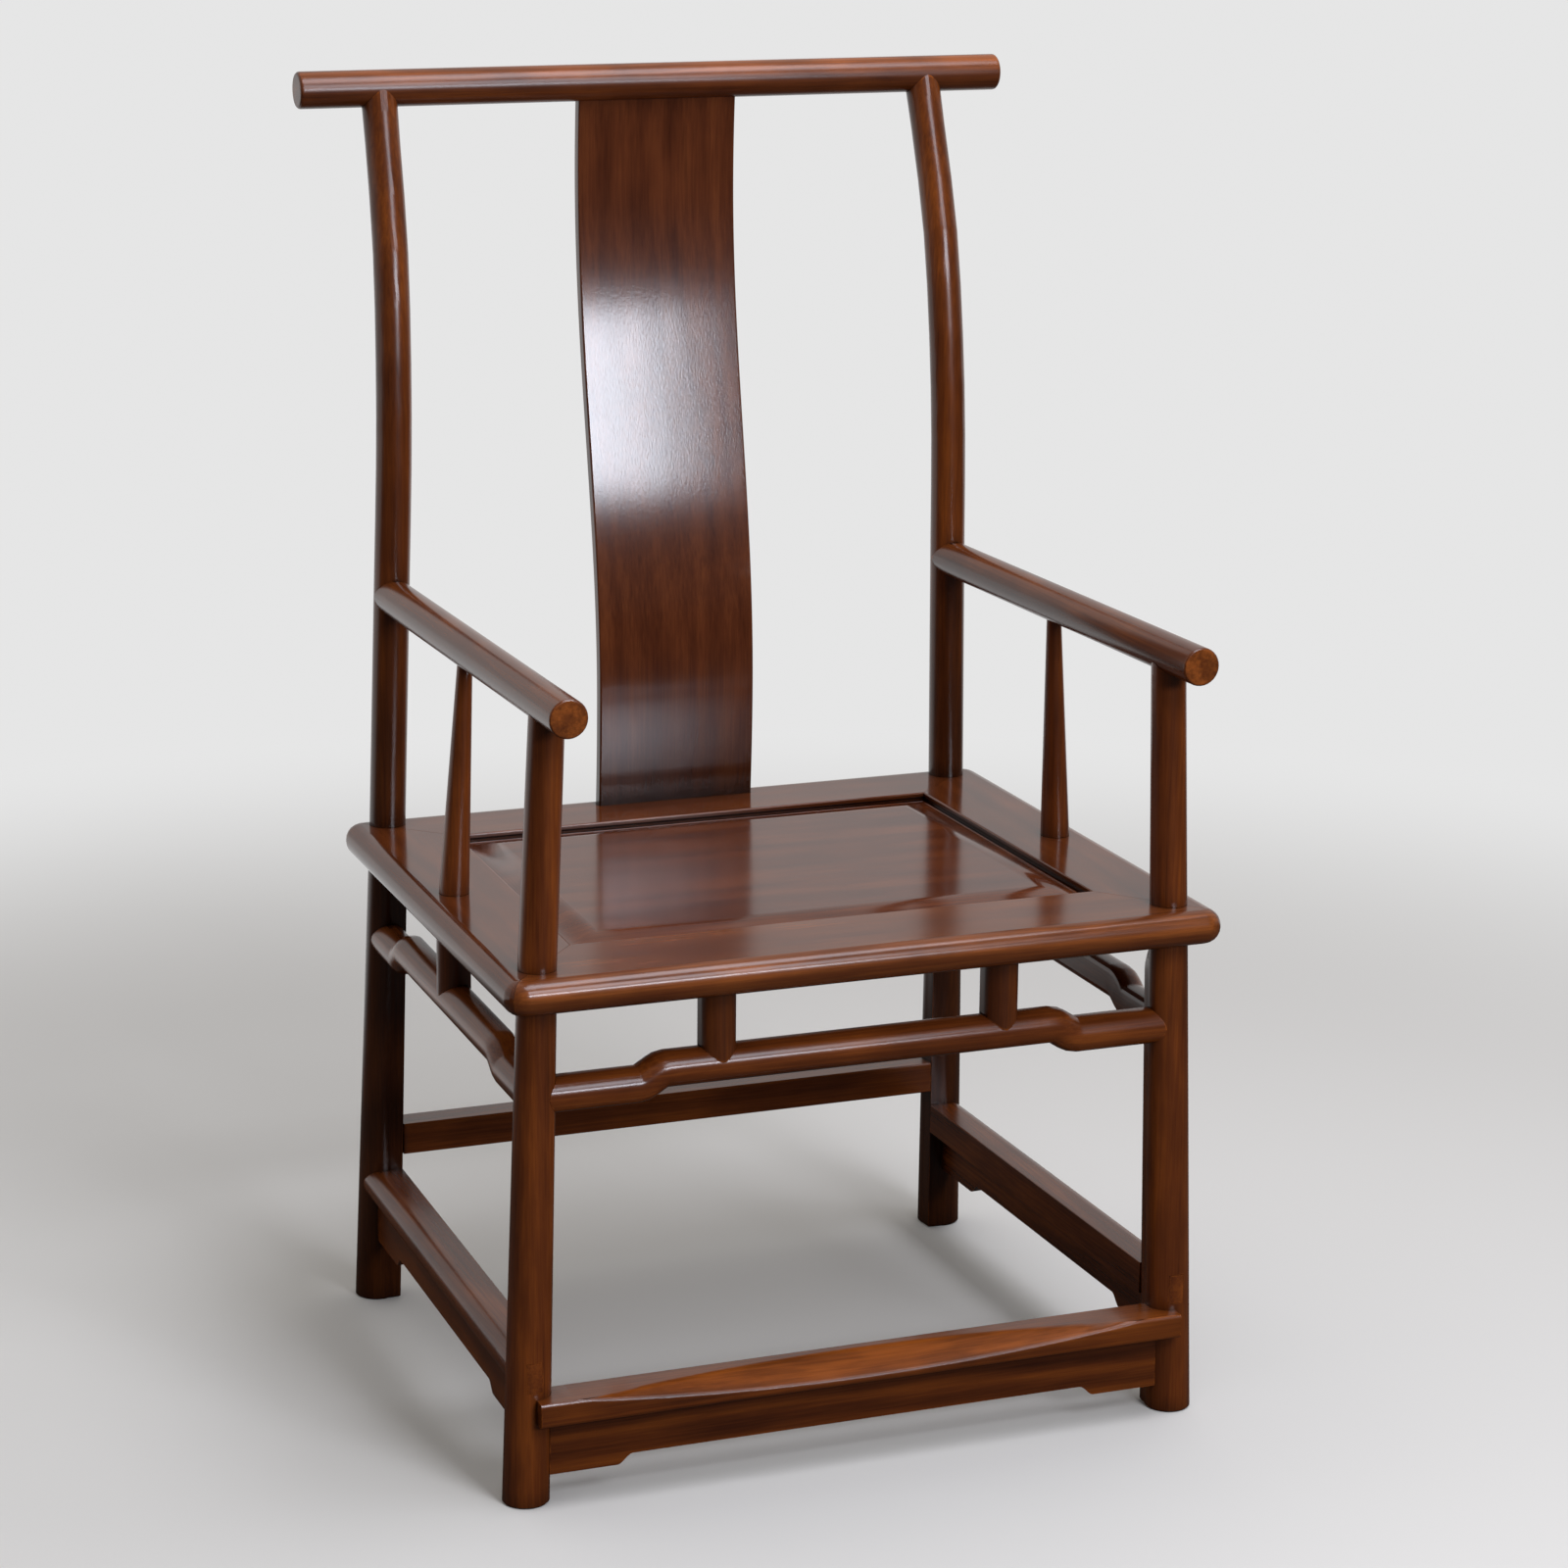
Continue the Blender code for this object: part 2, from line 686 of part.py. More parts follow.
# Seat rails
frame_ring = seat_ring()
rails = {}
for name, first, second in (("seat_front_rail", (-1, True), (1, True)),
                            ("seat_right_rail", (1, True), (1, False)),
                            ("seat_rear_rail", (1, False), (-1, False))):
    rail = frame_ring.copy()
    rail.data = frame_ring.data.copy()
    rail.name = name
    bpy.context.scene.collection.objects.link(rail)
    carve(rail, mitre_wedge(first, second), "INTERSECT")
    rails[name] = rail
bpy.data.objects.remove(frame_ring, do_unlink=True)
for front, name, axis in ((True, "seat_front_rail", front_axis), (False, "seat_rear_rail", rear_axis)):
    carve_both(rails[name], corner_tenon(front), "UNION")
    carve(rails["seat_right_rail"], corner_tenon(front, gap))
    carve_both(rails[name], waist_hole(axis))
    carve(rails["seat_right_rail"], waist_hole(axis))
carve(rails["seat_rear_rail"], loft("slot", [splat_section(level, 0.0, gap)
                                             for level in (splat_low - gap, seat_height + overrun)]))
carve(rails["seat_right_rail"], strut_tenon(gap))

# Floating seat panel with a raised field, and the battens under it
groove_top = seat_height - panel_edge_drop
tongue_low = groove_top - tongue_thickness
panel_under = seat_height - panel_under_drop
field_top = seat_height - panel_field_drop
panel_rows = [(panel_lip, panel_under), (panel_lip, tongue_low), (gap - groove_depth, tongue_low),
              (gap - groove_depth, groove_top), (panel_border_flat, groove_top)]
for step in range(1, turn_steps + 1):
    panel_rows.append((panel_border_flat + panel_border_slope * step / turn_steps,
                       mix(groove_top, field_top, smoothstep(step / turn_steps))))
seat_panel = loft("seat_panel", [[(x, y, z) for x, y in shrunk_opening(amount)]
                                 for amount, z in panel_rows])


def batten(name, extra=0.0):
    """Batten dovetailed into the underside of the panel, tenoned into the front and rear rails."""
    half = batten_width / 2
    neck = half - batten_flare
    low = seat_under + batten_rise
    profile = [(-half, low), (half, low), (half, panel_under - gap), (neck - eased, panel_under - gap),
               (neck, panel_under + batten_dovetail), (-neck, panel_under + batten_dovetail),
               (-neck + eased, panel_under - gap), (-half, panel_under - gap)]
    profile = [(x + math.copysign(extra, x), z + (extra if z > low else -extra)) for x, z in profile]
    front = seat_front_y + front_rail_width + panel_lip
    rear = seat_rear_y - rear_rail_width - panel_lip
    return loft(name, [[(batten_place + x, depth, z) for x, z in profile] for depth in (front, rear)])


def batten_tenon(extra=0.0):
    low = (batten_place - tenon_width / 2, seat_front_y + front_rail_width - short_tenon,
           seat_under + 2 * batten_rise)
    high = (batten_place + tenon_width / 2, seat_rear_y - rear_rail_width + short_tenon,
            tongue_low - 2 * batten_rise)
    return box(low, high, extra)


right_seat_batten = batten("right_seat_batten")
carve(right_seat_batten, batten_tenon(), "UNION")
carve_both(seat_panel, batten("cutter", gap))
carve_both(rails["seat_front_rail"], batten_tenon(gap))
carve_both(rails["seat_rear_rail"], batten_tenon(gap))

# Humpback stretchers with their pillars
def scribe_side(body):
    """Fit both ends of a side piece to the front and rear legs."""
    carve(body, front_post("cutter", gap))
    carve(body, rear_post("cutter", gap))
    carve(body, leg_cheek(front_axis, BACK, -ACROSS))
    carve(body, leg_cheek(rear_axis, -BACK, -ACROSS))


front_low = front_axis(hump_low_height)
rear_low = rear_axis(hump_low_height)
front_span = Span(Vector((-front_low.x, front_low.y, 0)), front_low, -BACK)
side_span = Span(rear_low, front_low, ACROSS)
front_hump_stretcher = hump_stretcher("front_hump_stretcher", front_span, front_hump_inset)
carve_both(front_hump_stretcher, front_post("cutter", gap))
carve_both(front_hump_stretcher, leg_cheek(front_axis, -ACROSS, BACK))
right_hump_stretcher = hump_stretcher("right_hump_stretcher", side_span, side_hump_inset)
scribe_side(right_hump_stretcher)


tenon_heights = (hump_low_height - tenon_width / 2, hump_low_height + tenon_width / 2)
for body, leg, low, high in (
        (front_hump_stretcher, right_front_post,
         (front_low.x - 2 * leg_radius, front_low.y - tenon_depth, tenon_heights[0]),
         (front_low.x + tenon_depth, front_low.y + tenon_depth, tenon_heights[1])),
        (right_hump_stretcher, right_front_post,
         (front_low.x - tenon_depth, front_low.y + tenon_depth + 4 * gap, tenon_heights[0]),
         (front_low.x + tenon_depth, front_low.y + 2 * leg_radius, tenon_heights[1])),
        (right_hump_stretcher, right_rear_post,
         (rear_low.x - tenon_depth, rear_low.y - 2 * leg_radius, tenon_heights[0]),
         (rear_low.x + tenon_depth, rear_low.y + tenon_depth, tenon_heights[1]))):
    joiner = carve_both if body is front_hump_stretcher else carve
    joiner(body, box(low, high), "UNION")
    carve(leg, box(low, high, gap))

pillars = {}
middle_run = front_span.length / 2
side_run = rear_low.y - side_pillar_y
for name, span, run, inset, bar, rail in (
        ("front_right_pillar", front_span, middle_run + front_pillar_half, front_hump_inset,
         front_hump_stretcher, rails["seat_front_rail"]),
        ("right_pillar", side_span, side_run, side_hump_inset,
         right_hump_stretcher, rails["seat_right_rail"])):
    body = pillar(name, span, run, inset)
    crown = hump_height(run, span.length, inset) + hump_radius
    sizes = (span, run, tenon_thickness, tenon_width)
    cutter = carve_both if bar is front_hump_stretcher else carve
    for low, high, female in ((crown - short_tenon, crown + short_tenon, bar),
                              (seat_under - short_tenon, seat_under + short_tenon, rail)):
        carve(body, post_block(*sizes, low, high), "UNION")
        cutter(female, post_block(*sizes, low, high, gap))
    pillars[name] = body

# Side lower stretchers with through tenons, and the aprons under them
bar_middle = side_bar_top - side_bar_height / 2
bar_span = Span(rear_axis(bar_middle), front_axis(bar_middle), ACROSS)
bar_girth = leg_girth(bar_middle)
bar_back = bar_girth * leg_square_share
bar_round = bar_girth - side_bar_inset - side_bar_height / 2


def side_bar(name):
    section = d_section(side_bar_height / 2, bar_back + bar_round, eased, 0.0)
    return loft(name, [[bar_span.at(run, out + bar_round, bar_middle + up) for out, up in section]
                       for run in (0.0, bar_span.length)])


right_lower_stretcher = side_bar("right_lower_stretcher")
scribe_side(right_lower_stretcher)
bar_front = front_axis(bar_middle)
bar_rear = rear_axis(bar_middle)
tenon_low = side_bar_top - side_bar_height + 2 * eased
tenon_high = side_bar_top - eased
through_low = (bar_front.x - through_tenon_width / 2, bar_front.y - bar_girth - overrun, tenon_low)
through_high = (bar_front.x + through_tenon_width / 2, bar_front.y + 2 * bar_girth, tenon_high)
carve(right_lower_stretcher, box(through_low, through_high), "UNION")
beyond = box((bar_front.x - overrun, bar_front.y - bar_girth - 2 * overrun, tenon_low - overrun),
             (bar_front.x + overrun, bar_front.y, tenon_high + overrun))
carve(beyond, front_post("cutter"))
carve(right_lower_stretcher, beyond)
carve(right_front_post, box(through_low, through_high, gap))
rear_tenon_low = (bar_rear.x - tenon_thickness / 2, bar_rear.y - 2 * bar_girth, tenon_low)
rear_tenon_high = (bar_rear.x + tenon_thickness / 2, bar_rear.y + tenon_depth, tenon_high)
carve(right_lower_stretcher, box(rear_tenon_low, rear_tenon_high), "UNION")
carve(right_rear_post, box(rear_tenon_low, rear_tenon_high, gap))

apron_face = bar_girth - side_bar_inset - side_apron_setback
side_apron_top = side_bar_top - side_bar_height - gap
apron_outline = stepped_apron_outline(bar_span.length, side_apron_step + bar_girth,
                                      side_apron_low, side_apron_high, side_apron_top)
right_stretcher_apron = outline_board("right_stretcher_apron", bar_span, apron_outline,
                                      apron_face, apron_thickness)
tongue_face = apron_face - apron_thickness / 3


def side_tongue(extra=0.0):
    low, high = side_apron_top - eased, side_apron_top + apron_tongue
    run = bar_girth + gap
    outline = [(run - extra, low), (run - extra, high + extra),
               (bar_span.length - run + extra, high + extra), (bar_span.length - run + extra, low)]
    return outline_board("tongue", bar_span, outline, tongue_face + extra, apron_thickness / 3 + 2 * extra)


scribe_side(right_stretcher_apron)
carve(right_stretcher_apron, side_tongue(), "UNION")
carve(right_lower_stretcher, side_tongue(gap))

# Rear lower stretcher
rear_middle = rear_axis(rear_bar_top - rear_bar_height / 2)
rear_span = Span(Vector((-rear_middle.x, rear_middle.y, 0)), rear_middle, BACK)
rear_inner = leg_girth(rear_middle.z) * leg_square_share
rear_half = rear_bar_height / 2
rear_outer = rear_bar_depth - rear_inner
bar_outline = [(-rear_inner, eased - rear_half), (eased - rear_inner, -rear_half),
               (rear_outer - eased, -rear_half), (rear_outer, eased - rear_half),
               (rear_outer, rear_half - eased), (rear_outer - eased, rear_half),
               (eased - rear_inner, rear_half), (-rear_inner, rear_half - eased)]
rear_lower_stretcher = loft("rear_lower_stretcher",
                            [[rear_span.at(run, out, rear_middle.z + up) for out, up in bar_outline]
                             for run in (0.0, rear_span.length)])
carve_both(rear_lower_stretcher, rear_post("cutter", gap))
carve_both(rear_lower_stretcher, leg_cheek(rear_axis, -ACROSS, -BACK))
rear_bar_low = (rear_middle.x - 2 * leg_radius, rear_middle.y - tenon_depth, rear_middle.z - tenon_width / 2)
rear_bar_high = (rear_middle.x + tenon_depth, rear_middle.y + tenon_depth, rear_middle.z + tenon_width / 2)
carve_both(rear_lower_stretcher, box(rear_bar_low, rear_bar_high), "UNION")
carve(right_rear_post, box(rear_bar_low, rear_bar_high, gap))

# Footrest: a board notched round the front legs, its top edge worn hollow
rest_low = footrest_top - footrest_thickness
rest_front = front_foot_y - footrest_front
rest_back = rest_front + footrest_depth
rest_section = [(rest_back, rest_low + eased), (rest_back, footrest_top - eased),
                (rest_back - eased, footrest_top), (rest_front + eased, footrest_top),
                (rest_front, footrest_top - eased)]
for step in range(turn_steps + 1):
    turn = math.pi + math.pi / 2 * step / turn_steps
    rest_section.append((rest_front + footrest_round * (1 + math.cos(turn)),
                         rest_low + footrest_round * (1 + math.sin(turn))))
rest_section.append((rest_back - eased, rest_low))
footrest = loft("footrest", [[(x, y, z) for y, z in rest_section] for x in (-footrest_half, footrest_half)])
scoop_slope = Vector((0, scoop_reach, scoop_fall))
scoop_depth = scoop_reach * scoop_fall / scoop_slope.length
scoop_outline = []
for step in range(2 * turn_steps + 1):
    place = (step / turn_steps - 1) * scoop_end_share
    scoop_outline.append((place * scoop_half, scoop_depth * (1 - place ** 2)))
scoop_end = scoop_outline[-1][0]
scoop_outline += [(scoop_end, -overrun), (-scoop_end, -overrun)]
scoop_inward = Vector((0, scoop_fall, -scoop_reach)).normalized()
scoop_upward = scoop_slope.normalized()
scoop_edge = Vector((0, rest_front, footrest_top))
carve(footrest, loft("scoop", [[scoop_edge + ACROSS * x + scoop_inward * depth + scoop_upward * run
                                for x, depth in scoop_outline] for run in (-overrun, overrun)]))
carve_both(footrest, front_post("cutter", gap))
rest_leg = front_axis(footrest_top - footrest_thickness / 2)
rest_tenon_low = (rest_leg.x - 2 * foot_radius, rest_leg.y - tenon_width + tenon_depth / 2,
                  rest_low + footrest_thickness / 4)
rest_tenon_high = (rest_leg.x + tenon_depth, rest_leg.y + tenon_depth / 2,
                   footrest_top - footrest_thickness / 4)
carve_both(footrest, box(rest_tenon_low, rest_tenon_high), "UNION")
carve(right_front_post, box(rest_tenon_low, rest_tenon_high, gap))

# Apron under the footrest
rest_span = Span(Vector((-rest_leg.x, rest_leg.y, 0)), rest_leg, -BACK)
front_apron_face = rest_leg.y - rest_front - front_apron_setback
front_apron_outline = stepped_apron_outline(rest_span.length, front_apron_step + foot_radius,
                                            front_apron_low, front_apron_high, rest_low - gap)
footrest_apron = outline_board("footrest_apron", rest_span, front_apron_outline,
                               front_apron_face, apron_thickness)
carve_both(footrest_apron, front_post("cutter", gap))


def rest_tongue(extra=0.0):
    low, high = rest_low - eased, rest_low + apron_tongue
    run = 2 * foot_radius
    outline = [(run - extra, low), (run - extra, high + extra),
               (rest_span.length - run + extra, high + extra), (rest_span.length - run + extra, low)]
    face = front_apron_face - apron_thickness / 3
    return outline_board("tongue", rest_span, outline, face + extra, apron_thickness / 3 + 2 * extra)


carve(footrest_apron, rest_tongue(), "UNION")
carve(footrest, rest_tongue(gap))

# Left-hand twins
pairs = (right_front_post, right_rear_post, right_arm, right_arm_strut, rails["seat_right_rail"],
         right_seat_batten, right_hump_stretcher, pillars["front_right_pillar"], pillars["right_pillar"],
         right_lower_stretcher, right_stretcher_apron)
for piece in pairs:
    mirrored(piece, piece.name.replace("right", "left"))

# Finish: dark lacquered wood, redder and lighter where it is worn
wood_tones = {
    "crest_rail": ((0.125, 0.036, 0.016), 0.26),
    "back_splat": ((0.095, 0.026, 0.014), 0.20),
    "seat_panel": ((0.090, 0.024, 0.013), 0.18),
    "footrest": ((0.150, 0.046, 0.018), 0.30),
    "seat_front_rail": ((0.150, 0.046, 0.018), 0.24),
}
plain_tone = ((0.105, 0.030, 0.014), 0.26)
for piece in bpy.context.scene.collection.objects:
    if piece.type == "MESH":
        finish(piece, *wood_tones.get(piece.name, plain_tone))
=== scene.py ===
import math

import bmesh
import bpy
from mathutils import Matrix, Vector


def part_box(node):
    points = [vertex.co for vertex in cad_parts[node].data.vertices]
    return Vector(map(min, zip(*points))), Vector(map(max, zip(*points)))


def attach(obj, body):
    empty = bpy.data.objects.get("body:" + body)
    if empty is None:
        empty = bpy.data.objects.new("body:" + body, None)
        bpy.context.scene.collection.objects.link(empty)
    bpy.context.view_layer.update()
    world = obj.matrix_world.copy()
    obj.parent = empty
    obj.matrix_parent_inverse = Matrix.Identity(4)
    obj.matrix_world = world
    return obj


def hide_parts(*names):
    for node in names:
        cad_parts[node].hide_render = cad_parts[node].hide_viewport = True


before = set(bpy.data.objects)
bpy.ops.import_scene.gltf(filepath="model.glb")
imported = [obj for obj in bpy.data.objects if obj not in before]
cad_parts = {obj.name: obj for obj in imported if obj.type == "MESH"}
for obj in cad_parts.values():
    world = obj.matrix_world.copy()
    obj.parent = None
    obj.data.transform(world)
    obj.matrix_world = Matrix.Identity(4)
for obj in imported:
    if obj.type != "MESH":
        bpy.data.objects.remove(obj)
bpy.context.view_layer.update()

# Front legs and posts
# One length of dark hardwood each, from the floor to the arm, round outside and nearly square
# at the inner corner below the seat. The wood is stained red-brown, lacquered and rubbed.
post_tones = ((0.072, 0.0146, 0.0031), (0.157, 0.0355, 0.0060), (0.297, 0.0720, 0.0097))
upright = (0, 0, 0)
post_ring = 0.024
facet_angle = math.radians(20)
flat_angle = math.radians(0.05)
seam_gap = 0.00001


def lacquered_wood(name, run, start, tones, gloss, figure=0.10, lined=0.5, ripple=0.0002,
                   pebble=0.00001, worn_and_lit=None, painted_low_shade=None):
    """Stained wood under clear lacquer, its grain laid along the run and begun at the start.

    tones are the dark, middle and light stain, figure is the share of the yearly rings in it,
    and lined is how strongly dark pores streak it. ripple and pebble are the heights of the long
    waves and the fine grains in the lacquer. The side painted lighter comes with how much
    lighter it is and how wide it reaches: it is stain worn bright by hands or feet, and on the
    crest rail and the front rail also painted light falling from above. The painted low shade
    gives the height below which the stain is painted darkest, as shade, the height above which
    it is itself, and what is left of it at the darkest.
    """
    grain_stride = (1.37, 0.73, 2.11)       # how far apart in the tree two starts lie
    ring_scale, ring_warp, ring_detail, ring_warp_scale = (11, 11, 0.9), 7, 4, 1.6
    cloud_scale, cloud_share = (30, 30, 11), 0.50 - figure
    streak_scale, streak_share = (330, 330, 8), 0.30
    fibre_scale, fibre_share = (1000, 1000, 26), 0.20
    stain_stops = (0.30, 0.50, 0.70)
    pore_scale, pore_stops = (300, 300, 6.5), ((0.57, 1.0), (0.70, 0.60))
    patch_scale, patch_stops = (90, 90, 7), ((0.40, 0.35), (0.56, 1.0))
    worn_and_lit_stops, worn_and_lit_gain = (0.30, 0.40, 0.52), 1.8
    shade_and_grime_reach, shade_and_grime_stops = 0.032, ((0.22, 0.12), (0.82, 1.0))
    arris_reach, arris_stops, arris_gain = 0.0016, ((0.80, 1.0), (0.985, 0.0)), 1.5
    chip_scale, chip_stops = (130, 130, 22), ((0.44, 0.0), (0.60, 1.0))
    open_stops = ((0.60, 0.0), (0.85, 0.8))
    ripple_scale, pebble_scale = (26, 26, 7), (720, 720, 260)
    stain_roughness, lacquer_index = 0.45, 1.5
    middle, light = tones[1:]
    wood = bpy.data.materials.new(name)
    wood.use_nodes = True
    nodes, links = wood.node_tree.nodes, wood.node_tree.links
    lacquer = nodes["Principled BSDF"]
    place = nodes.new("ShaderNodeTexCoord")

    def grain_space(scale, shift):
        turn = nodes.new("ShaderNodeMapping")
        turn.inputs["Rotation"].default_value = run
        turn.inputs["Location"].default_value = (start * grain_stride[0] + shift,
                                                 start * grain_stride[1], start * grain_stride[2])
        links.new(place.outputs["Object"], turn.inputs["Vector"])
        stretch = nodes.new("ShaderNodeMapping")
        stretch.inputs["Scale"].default_value = scale
        links.new(turn.outputs["Vector"], stretch.inputs["Vector"])
        return stretch.outputs["Vector"]

    def noise(scale, detail, shift):
        texture = nodes.new("ShaderNodeTexNoise")
        texture.inputs["Scale"].default_value = 1
        texture.inputs["Detail"].default_value = detail
        links.new(grain_space(scale, shift), texture.inputs["Vector"])
        return texture.outputs["Fac"]

    def reckon(kind, first, second=None, third=None):
        step = nodes.new("ShaderNodeMath")
        step.operation = kind
        for socket, value in zip(step.inputs, (first, second, third)):
            if isinstance(value, (int, float)):
                socket.default_value = value
            elif value is not None:
                links.new(value, socket)
        return step.outputs["Value"]

    def ramp(value, stops):
        curve = nodes.new("ShaderNodeValToRGB")
        while len(curve.color_ramp.elements) < len(stops):
            curve.color_ramp.elements.new(0.5)
        for element, (at, shade) in zip(curve.color_ramp.elements, stops):
            element.position = at
            element.color = (*shade, 1) if isinstance(shade, tuple) else (shade, shade, shade, 1)
        links.new(value, curve.inputs["Fac"])
        return curve.outputs["Color"]

    def layer(kind, share, first, second):
        step = nodes.new("ShaderNodeMix")
        step.data_type = "RGBA"
        step.blend_type = kind
        for socket, value in ((0, share), (6, first), (7, second)):     # 6 and 7 take colours
            if isinstance(value, tuple):
                step.inputs[socket].default_value = (*value, 1)
            elif isinstance(value, (int, float)):
                step.inputs[socket].default_value = value
            else:
                links.new(value, step.inputs[socket])
        return step.outputs[2]

    rings = nodes.new("ShaderNodeTexWave")
    rings.wave_type = "RINGS"
    rings.rings_direction = "Z"
    for socket, value in (("Scale", 1), ("Distortion", ring_warp), ("Detail", ring_detail),
                          ("Detail Scale", ring_warp_scale)):
        rings.inputs[socket].default_value = value
    links.new(grain_space(ring_scale, shift=0.21), rings.inputs["Vector"])
    clouds = reckon("MULTIPLY", noise(cloud_scale, detail=5, shift=0.0), cloud_share)
    streaks = reckon("MULTIPLY_ADD", noise(streak_scale, detail=4, shift=0.4), streak_share, clouds)
    fibres = reckon("MULTIPLY_ADD", noise(fibre_scale, detail=3, shift=0.7), fibre_share, streaks)
    stain = reckon("MULTIPLY_ADD", rings.outputs["Fac"], figure, fibres)
    colour = ramp(stain, tuple(zip(stain_stops, tones)))
    pores = ramp(noise(pore_scale, detail=5, shift=0.9), pore_stops)
    colour = layer("MULTIPLY", lined, colour, pores)
    # Painted shade: the colour is darkened towards the bottom of the piece.
    if painted_low_shade:
        low, high, left = painted_low_shade
        height = nodes.new("ShaderNodeSeparateXYZ")
        links.new(place.outputs["Object"], height.inputs["Vector"])
        risen = nodes.new("ShaderNodeMapRange")
        risen.interpolation_type = "SMOOTHSTEP"
        for socket, value in (("From Min", low), ("From Max", high), ("To Min", left), ("To Max", 1)):
            risen.inputs[socket].default_value = value
        links.new(height.outputs["Z"], risen.inputs["Value"])
        colour = layer("MULTIPLY", 1.0, colour, risen.outputs["Result"])

    # The chosen side is painted lighter: stain worn bright by hands or feet, and on the crest rail and
    # front rail also painted light falling from above.
    if worn_and_lit:
        side, share, width = worn_and_lit
        facing = nodes.new("ShaderNodeVectorMath")
        facing.operation = "DOT_PRODUCT"
        facing.inputs[1].default_value = Vector(side).normalized()
        links.new(place.outputs["Normal"], facing.inputs[0])
        bright = ramp(facing.outputs["Value"], ((1 - width, 0.0), (1 - width / 4, 1.0)))
        patchy = ramp(noise(patch_scale, detail=4, shift=1.3), patch_stops)
        bright = reckon("MULTIPLY", reckon("MULTIPLY", bright, patchy), share)
        palest = tuple(worn_and_lit_gain * part for part in light)
        worn_and_lit_stain = ramp(fibres, tuple(zip(worn_and_lit_stops, (middle, light, palest))))
        colour = layer("MIX", bright, colour, worn_and_lit_stain)

    # Painted shade with some grime: the stain is darkened where other surfaces close in, in hollows and
    # at the joints between parts.
    hollow = nodes.new("ShaderNodeAmbientOcclusion")
    hollow.samples = 6
    hollow.inputs["Distance"].default_value = shade_and_grime_reach
    open_air = hollow.outputs["AO"]
    colour = layer("MULTIPLY", 1.0, colour, ramp(open_air, shade_and_grime_stops))
    eased = nodes.new("ShaderNodeBevel")
    eased.samples = 4
    eased.inputs["Radius"].default_value = arris_reach
    surface = nodes.new("ShaderNodeNewGeometry")
    turned = nodes.new("ShaderNodeVectorMath")
    turned.operation = "DOT_PRODUCT"
    links.new(eased.outputs["Normal"], turned.inputs[0])
    links.new(surface.outputs["Normal"], turned.inputs[1])
    arris = ramp(turned.outputs["Value"], arris_stops)
    chance = ramp(noise(chip_scale, detail=3, shift=1.9), chip_stops)
    worn = reckon("MULTIPLY", reckon("MULTIPLY", arris, chance), ramp(open_air, open_stops))
    colour = layer("MIX", worn, colour, tuple(arris_gain * part for part in light))
    links.new(colour, lacquer.inputs["Base Color"])

    waves = nodes.new("ShaderNodeBump")
    waves.inputs["Distance"].default_value = ripple
    links.new(noise(ripple_scale, detail=1, shift=2.3), waves.inputs["Height"])
    peel = nodes.new("ShaderNodeBump")
    peel.inputs["Distance"].default_value = pebble
    links.new(noise(pebble_scale, detail=2, shift=2.9), peel.inputs["Height"])
    links.new(waves.outputs["Normal"], peel.inputs["Normal"])
    links.new(peel.outputs["Normal"], lacquer.inputs["Normal"])
    links.new(peel.outputs["Normal"], lacquer.inputs["Coat Normal"])
    lacquer.inputs["Roughness"].default_value = stain_roughness
    lacquer.inputs["Specular IOR Level"].default_value = 0.0
    lacquer.inputs["Coat Weight"].default_value = 1.0
    lacquer.inputs["Coat Roughness"].default_value = gloss
    lacquer.inputs["Coat IOR"].default_value = lacquer_index
    return wood


def joined_piece(name):
    """A copy of one of the chair's joined members, its seams merged and its flats made whole."""
    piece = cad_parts[name].copy()
    piece.data = piece.data.copy()
    piece.name = name + "_piece"
    bpy.context.scene.collection.objects.link(piece)
    bpy.ops.object.select_all(action="DESELECT")
    piece.select_set(True)
    bpy.context.view_layer.objects.active = piece
    bpy.ops.object.mode_set(mode="EDIT")
    bpy.ops.mesh.select_all(action="SELECT")
    bpy.ops.mesh.remove_doubles(threshold=seam_gap)
    bpy.ops.mesh.dissolve_limited(angle_limit=flat_angle)
    bpy.ops.object.mode_set(mode="OBJECT")
    return piece


def cut_rings(piece, along, spacing):
    """Cut rings across a long piece, so that its shading follows the turned surface."""
    places = [vert.co.dot(along) for vert in piece.data.vertices]
    first, last = min(places), max(places)
    count = int((last - first) / spacing)
    bpy.ops.object.mode_set(mode="EDIT")
    for step in range(1, count):
        bpy.ops.mesh.select_all(action="SELECT")
        place = first + (last - first) * step / count
        bpy.ops.mesh.bisect(plane_co=along * place, plane_no=along)
    bpy.ops.object.mode_set(mode="OBJECT")


def shaded(piece, wood, angle=facet_angle):
    """Smooth the round faces, keep the arrises, and let the flat faces stay flat."""
    bpy.ops.object.select_all(action="DESELECT")
    piece.select_set(True)
    bpy.context.view_layer.objects.active = piece
    bpy.ops.object.shade_smooth_by_angle(angle=angle)
    weights = piece.modifiers.new("flat_faces", "WEIGHTED_NORMAL")
    weights.keep_sharp = True
    bpy.ops.object.modifier_apply(modifier=weights.name)
    piece.data.materials.clear()
    piece.data.materials.append(wood)


for order, name in enumerate(("left_front_post", "right_front_post")):
    front_post = joined_piece(name)
    cut_rings(front_post, Vector((0, 0, 1)), post_ring)
    shaded(front_post, lacquered_wood(name + "_wood", upright, start=0.3 + order,
                                      tones=post_tones, gloss=0.24))
    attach(front_post, "root")
    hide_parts(name)

